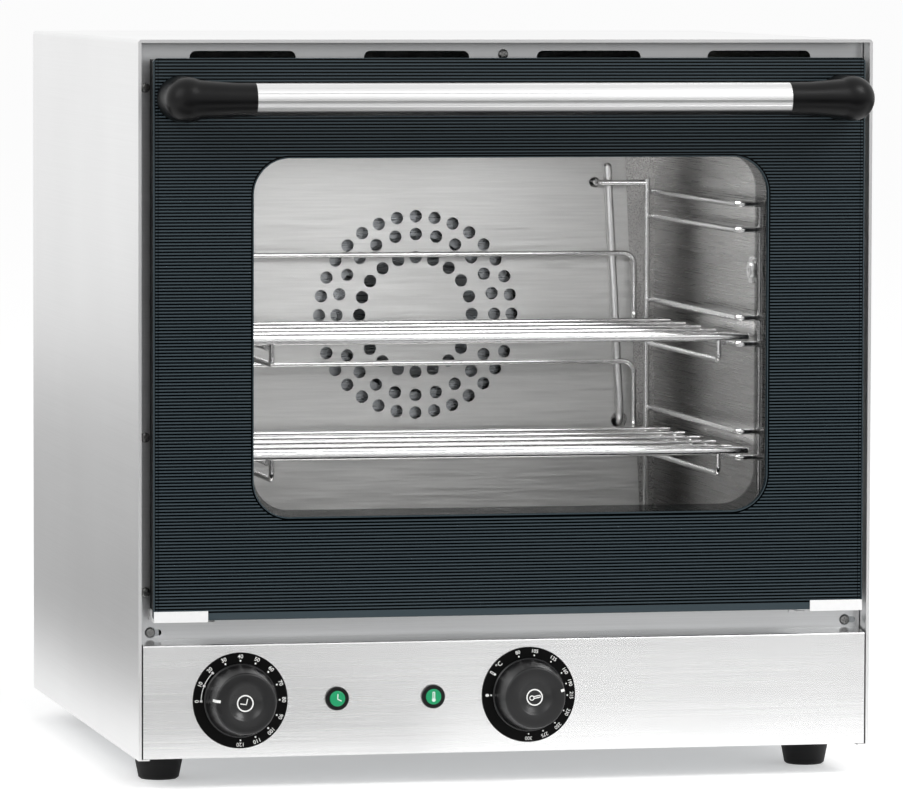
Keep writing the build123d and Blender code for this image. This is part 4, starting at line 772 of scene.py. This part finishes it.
# Dials and lamps: moulded black plastic, and clear green lenses.
dial_plastic = grained("printed_dial_plate", "#040404", 0.45, 0.0005, 0.00001, gloss=0.08)
dress(dial_plastic, "timer_dial", "thermostat_dial")
dress(grained("moulded_lamp_bezel", "#050505", 0.25, 0.0006, 0.00001), "lamp_bezels", "lamp_nuts")
lens_green = grained("clear_green_lens", "#1E9A66", 0.22, 0.0008, 0.00001)
dress(lens_green, "lamp_lenses")

# Print on the dials: white numbers, dots and a line, screen printed a hair above the
# plate. Each mark is set in the dial's own plane, where X runs right and Y up.
print_height = 0.00006
digit_height = 0.0031
digit_radius = 0.0348
dot_radius = 0.0315
dot_size = 0.00075
capital_share = 0.7
letter_swell = 0.00004
white_print = grained("screen_print_white", "#F4F4F2", 0.5, 0.0004, 0.000005)
dial_low, dial_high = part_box("timer_dial")
control_height = (dial_low.z + dial_high.z) / 2


def dial_place(name):
    """The plane of a dial's front: its own Z looks out of the oven."""
    low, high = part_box(name)
    return Matrix.Translation(((low.x + high.x) / 2, low.y, control_height)) @ Matrix.Rotation(
        pi / 2, 4, "X"
    )


def at_angle(degrees_round, radius):
    """A place on a dial, clockwise from its top, with its top turned outward."""
    return Matrix.Rotation(-radians(degrees_round), 4, "Z") @ Matrix.Translation((0, radius, 0))


def lettering(words, height, place):
    """Printed words of this height, centred on their place."""
    bpy.ops.object.select_all(action="DESELECT")
    bpy.ops.object.text_add()
    text = bpy.context.object
    text.data.body = words
    text.data.align_x = "CENTER"
    text.data.align_y = "CENTER"
    text.data.size = height / capital_share
    text.data.offset = letter_swell
    text.data.extrude = print_height
    text.data.resolution_u = 4
    bpy.ops.object.convert(target="MESH")
    mark = bpy.context.object
    mark.matrix_world = place
    bpy.ops.object.transform_apply(location=True, rotation=True, scale=True)
    return mark


def dot(radius, place, squash=1.0):
    """A printed dot."""
    mark = turned([(radius, 0), (radius, print_height)], segments=24)
    mark.matrix_world = place @ Matrix.Diagonal((squash, 1, 1, 1))
    bpy.ops.object.transform_apply(location=True, rotation=True, scale=True)
    return mark


def stroke(start, end, width, place=Matrix.Identity(4)):
    """A straight printed line between two points of the plane."""
    run_x = end[0] - start[0]
    run_y = end[1] - start[1]
    bpy.ops.object.select_all(action="DESELECT")
    bpy.ops.mesh.primitive_cube_add(size=1)
    mark = bpy.context.object
    mark.matrix_world = (
        place
        @ Matrix.Translation(((start[0] + end[0]) / 2, (start[1] + end[1]) / 2, 0))
        @ Matrix.Rotation(atan2(run_y, run_x), 4, "Z")
        @ Matrix.Diagonal((hypot(run_x, run_y) + width / 2, width, 2 * print_height, 1))
    )
    bpy.ops.object.transform_apply(location=True, rotation=True, scale=True)
    return mark


def printed_ring(radius, width, place=Matrix.Identity(4)):
    """A printed ring."""
    bpy.ops.object.select_all(action="DESELECT")
    bpy.ops.mesh.primitive_torus_add(
        major_radius=radius, minor_radius=width / 2, major_segments=48, minor_segments=8
    )
    mark = bpy.context.object
    mark.matrix_world = place @ Matrix.Diagonal((1, 1, 2 * print_height / width, 1))
    bpy.ops.object.transform_apply(location=True, rotation=True, scale=True)
    bpy.ops.object.shade_smooth_by_angle(angle=smooth_angle)
    return mark


minutes_turn = 2.25
line_width = 0.0006
tick_width = 0.0016
zero_angle = -90
line_minutes = 20
marks = []
for minutes in range(0, 121, 10):
    angle = zero_angle + minutes * minutes_turn
    marks.append(lettering(str(minutes), digit_height, at_angle(angle, digit_radius)))
    if minutes > line_minutes:
        marks.append(dot(dot_size, at_angle(angle, dot_radius)))
line_steps = 18
line_turn = line_minutes * minutes_turn / line_steps
line_angles = [zero_angle + step * line_turn for step in range(line_steps + 1)]
line_points = [
    (dot_radius * sin(radians(angle)), dot_radius * cos(radians(angle))) for angle in line_angles
]
marks += [stroke(start, end, line_width) for start, end in zip(line_points, line_points[1:])]
for minutes in (0, 10, line_minutes):
    tick_place = at_angle(zero_angle + minutes * minutes_turn, dot_radius)
    marks.append(stroke((0, -line_width), (0, line_width), tick_width, tick_place))
settle(
    joined(marks), "timer_print", "housing", white_print, dial_place("timer_dial")
)

degree_angles = (
    (80, -15), (105, 8), (135, 35), (160, 58), (190, 75),
    (215, 92), (230, 115), (250, 137), (275, 158), (300, 180),
)
marks = []
for number, angle in degree_angles:
    marks.append(lettering(str(number), digit_height * 0.9, at_angle(angle, digit_radius)))
    marks.append(dot(dot_size * 0.85, at_angle(angle, dot_radius)))
off_size = 0.0015
off_radius = 0.0338
off_dot_radius = 0.0306
marks.append(dot(off_size, at_angle(zero_angle, off_radius), squash=0.8))
marks.append(dot(dot_size, at_angle(zero_angle, off_dot_radius)))
marks.append(lettering("\u00b0C", digit_height * 1.15, at_angle(-45, digit_radius - 0.0006)))
sign = at_angle(-59, digit_radius - 0.0008)
thermometer_line = 0.0005
thermometer_bulb = 0.0010
for start, end in (
    ((-0.0006, -0.0012), (-0.0006, 0.0022)),
    ((0.0006, -0.0012), (0.0006, 0.0022)),
    ((-0.0006, 0.0024), (0.0006, 0.0024)),
):
    marks.append(stroke(start, end, thermometer_line, sign))
marks.append(dot(thermometer_bulb, sign @ Matrix.Translation((0, -0.0018, 0))))
settle(
    joined(marks),
    "thermostat_print",
    "housing",
    white_print,
    dial_place("thermostat_dial"),
)

# Knobs: phenolic mouldings with a skirt, a tapered side, a rounded rim and a dished
# face. Each carries a white sign in its dish and a white pointer, which on the timer
# runs over the rim.
knob_plastic = grained("moulded_phenolic_knob", "#121213", 0.31, 0.0006, 0.00002, gloss=0.45)
knob_radius = 0.0293
knob_face_radius = 0.0244
knob_front = 0.0250
knob_foot = 0.0003
knob_skirt = 0.0020
knob_rim = 0.0018
knob_edge = 0.0005
dish_radius = 0.0133
dish_depth = 0.0038
sign_radius = 0.0062
sign_ring = 0.0011
sign_stroke = 0.0008
pointer_width = 0.0022
pointer_lift = 0.00004
rim_profile = arc(knob_face_radius - knob_rim, knob_front - knob_rim, knob_rim, 12, 90)
knob_profile = [
    (knob_radius - knob_edge, knob_foot),
    (knob_radius, knob_foot + knob_edge),
    (knob_radius, knob_skirt - 0.0004),
    (knob_radius - 0.0004, knob_skirt),
    (knob_radius - 0.0008, knob_skirt + 0.0003),
    *rim_profile,
    (dish_radius + 0.0010, knob_front - 0.0001),
    (dish_radius, knob_front - 0.0006),
    (dish_radius - 0.0012, knob_front - 0.0015),
    (dish_radius - 0.0032, knob_front - 0.0026),
    (dish_radius - 0.0052, knob_front - dish_depth + 0.0003),
    (sign_radius + 0.0010, knob_front - dish_depth),
    (0.0005, knob_front - dish_depth),
]


def pointer(reach_in, wrapped):
    """A white line on a knob's face, running over its rim when it is wrapped."""
    skin = [
        (reach_in, knob_front + pointer_lift / 2),
        (knob_face_radius - knob_rim, knob_front + pointer_lift),
    ]
    for radius, height in reversed(rim_profile):
        skin.append((radius + pointer_lift, height + pointer_lift))
    if wrapped:
        skin.append((knob_face_radius + 0.0012 + pointer_lift, knob_front - 0.0060))
    mark = turned(skin, filled=False)
    for outward in ((1, 0, 0), (-1, 0, 0)):
        point = (outward[0] * pointer_width / 2, 0, 0)
        cut_flat(mark, point, outward, closed=False)
    cut_flat(mark, (0, 0, 0), (0, -1, 0), closed=False)
    return mark


clock_hands = (
    ((0.0008, -0.0010), (-0.0038, -0.0003)),
    ((0.0008, -0.0010), (0.0018, 0.0034)),
)
thermometer_tube = (
    ((-0.0008, 0.0006), (0.0042, 0.0016)),
    ((-0.0004, -0.0008), (0.0044, 0.0001)),
    ((0.0044, 0.0015), (0.0046, 0.0002)),
)
for name, sign_strokes, pointer_angle, pointer_start, wrapped in (
    ("timer", clock_hands, -84, 0.0205, True),
    ("thermostat", thermometer_tube, 76, 0.0212, False),
):
    place = dial_place(f"{name}_dial")
    knob = turned(knob_profile, segments=128)
    settle(knob, f"{name}_knob_moulding", f"{name}_knob", knob_plastic, place)
    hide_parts(f"{name}_knob")
    lift = Matrix.Translation((0, 0, knob_front - dish_depth))
    marks = [printed_ring(sign_radius, sign_ring, lift)]
    marks += [stroke(start, end, sign_stroke, lift) for start, end in sign_strokes]
    if name == "thermostat":
        bulb_place = lift @ Matrix.Translation((-0.0022, -0.0005, 0))
        marks.append(printed_ring(0.0017, sign_stroke, bulb_place))
    line = pointer(pointer_start, wrapped)
    line.matrix_world = Matrix.Rotation(-radians(pointer_angle), 4, "Z")
    marks.append(line)
    settle(joined(marks), f"{name}_knob_print", f"{name}_knob", white_print, place)

# Signs on the lamps: a white ring round each lens, with clock hands on the left one and
# a thermometer on the right one.
lens_low, lens_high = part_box("lamp_lenses")
lamp_print = grained("lamp_print_white", "#DDF5EA", 0.4, 0.0004, 0.000005)
lamp_radius = (lens_high.z - lens_low.z) / 2
lamp_ring_inset = 0.0010
lamp_ring_width = 0.0009
lamp_ring_place = Matrix.Translation((0, 0, -0.00018))
lamp_hands = (
    ((0, -0.0003), (0.0002, 0.0036)),
    ((0, -0.0003), (0.0030, -0.0018)),
)
lamp_tube = (
    ((-0.0007, -0.0014), (-0.0007, 0.0036)),
    ((0.0007, -0.0014), (0.0007, 0.0036)),
    ((-0.0006, 0.0037), (0.0006, 0.0037)),
)
for name, lamp_x, sign_strokes in (
    ("clock_lamp", lens_low.x + lamp_radius, lamp_hands),
    ("heat_lamp", lens_high.x - lamp_radius, lamp_tube),
):
    lamp_place = Matrix.Translation((lamp_x, lens_low.y, control_height)) @ Matrix.Rotation(
        pi / 2, 4, "X"
    )
    marks = [printed_ring(lamp_radius - lamp_ring_inset, lamp_ring_width, lamp_ring_place)]
    marks += [stroke(start, end, sign_stroke) for start, end in sign_strokes]
    if name == "heat_lamp":
        marks.append(dot(0.0016, Matrix.Translation((0, -0.0024, 0))))
    settle(joined(marks), name + "_print", "housing", lamp_print, lamp_place)

# Studio: a white room. The backdrop is plain white to the eye and in what metal and
# glass mirror, and dimmer as light; the floor keeps the oven's shadow.
world = bpy.data.worlds.new("white_room")
bpy.context.scene.world = world
world.use_nodes = True
room = world.node_tree
room.nodes.clear()


def shown_rays(tree):
    """1 for rays from the eye or by way of a mirror or glass, 0 for soft light."""
    rays = add_node(tree, "ShaderNodeLightPath")
    first = add_node(tree, "ShaderNodeMath", {
        0: rays.outputs["Is Camera Ray"], 1: rays.outputs["Is Glossy Ray"],
    }, operation="MAXIMUM")
    return add_node(tree, "ShaderNodeMath", {
        0: first.outputs[0], 1: rays.outputs["Is Transmission Ray"],
    }, operation="MAXIMUM").outputs[0]


room_strength = add_node(
    room, "ShaderNodeMapRange", {"Value": shown_rays(room), "To Min": 0.7, "To Max": 1.0}
)
backdrop = add_node(
    room,
    "ShaderNodeBackground",
    {"Color": linear("#FFFFFF"), "Strength": room_strength.outputs[0]},
)
add_node(room, "ShaderNodeOutputWorld", {"Surface": backdrop.outputs[0]})

bpy.ops.object.select_all(action="DESELECT")
bpy.ops.mesh.primitive_plane_add(size=240, location=(0, 0, 0))
floor = bpy.context.object
floor.name = "studio_floor"
floor_paper, floor_tree, floor_shader = new_material("white_studio_paper")
floor_shader.inputs["Base Color"].default_value = linear("#F2F2F2")
floor_shader.inputs["Roughness"].default_value = 0.9
floor_shader.inputs["Specular IOR Level"].default_value = 0.0
floor_shader.inputs["Emission Color"].default_value = linear("#FFFFFF")
floor_glow = add_node(
    floor_tree,
    "ShaderNodeMapRange",
    {"Value": shown_rays(floor_tree), "To Min": 0.0, "To Max": 0.35},
)
floor_tree.links.new(floor_glow.outputs[0], floor_shader.inputs["Emission Strength"])
floor.data.materials.append(floor_paper)

# Grey cards lie on the floor in front of the oven and beyond its sides. Only its upright
# steel, glass and handle show them, as in a product studio: the camera doesn't see them,
# and they cast no shadow.
card_height = 0.0005
for name, colour, left, right, near, far in (
    ("near_card", "#8E8E8E", -0.9, 0.0, -0.90, -0.47),
    ("bar_card", "#5A5A5A", 0.0, 1.2, -0.78, -0.60),
    ("far_card", "#141414", -1.0, 7.0, -16.0, -1.36),
    ("side_card", "#7A7A7A", -1.6, -0.46, 0.2, 1.6),
    ("far_side_card", "#B4B4B4", -2.6, -0.46, 1.6, 5.0),
    ("right_card", "#7A7A7A", 0.9, 2.2, 0.0, 1.6),
    ("far_right_card", "#A0A0A0", 2.2, 6.0, -1.0, 3.0),
):
    card_place = ((left + right) / 2, (near + far) / 2, card_height)
    bpy.ops.mesh.primitive_plane_add(size=1, location=card_place)
    card = bpy.context.object
    card.name = name
    card.scale = (right - left, far - near, 1)
    card_paper, _, card_shader = new_material(name + "_paper")
    card_shader.inputs["Base Color"].default_value = linear(colour)
    card_shader.inputs["Roughness"].default_value = 0.9
    card_shader.inputs["Specular IOR Level"].default_value = 0.0
    card.data.materials.append(card_paper)
    card.visible_camera = False
    card.visible_diffuse = False
    card.visible_shadow = False

# Lamps: a large soft one from the right, a weaker one from the left, and a small one
# under the chamber's ceiling, which lights the racks and the back wall.
for name, place, turn, width, depth, power in (
    ("key_light", (2.4, -3.0, 3.2), (radians(48), 0, radians(39)), 1.8, 1.8, 80),
    ("fill_light", (-2.8, -2.2, 2.6), (radians(54), 0, radians(-50)), 2.4, 2.4, 40),
    ("chamber_light", (0.0, -0.15, 0.506), (0, 0, 0), 0.36, 0.12, 1.15),
):
    lamp = bpy.data.lights.new(name, "AREA")
    lamp.shape = "RECTANGLE"
    lamp.size = width
    lamp.size_y = depth
    lamp.energy = power
    held = bpy.data.objects.new(name, lamp)
    bpy.context.scene.collection.objects.link(held)
    held.location = place
    held.rotation_euler = turn
    held.visible_camera = False

bpy.context.scene.view_settings.view_transform = "Standard"
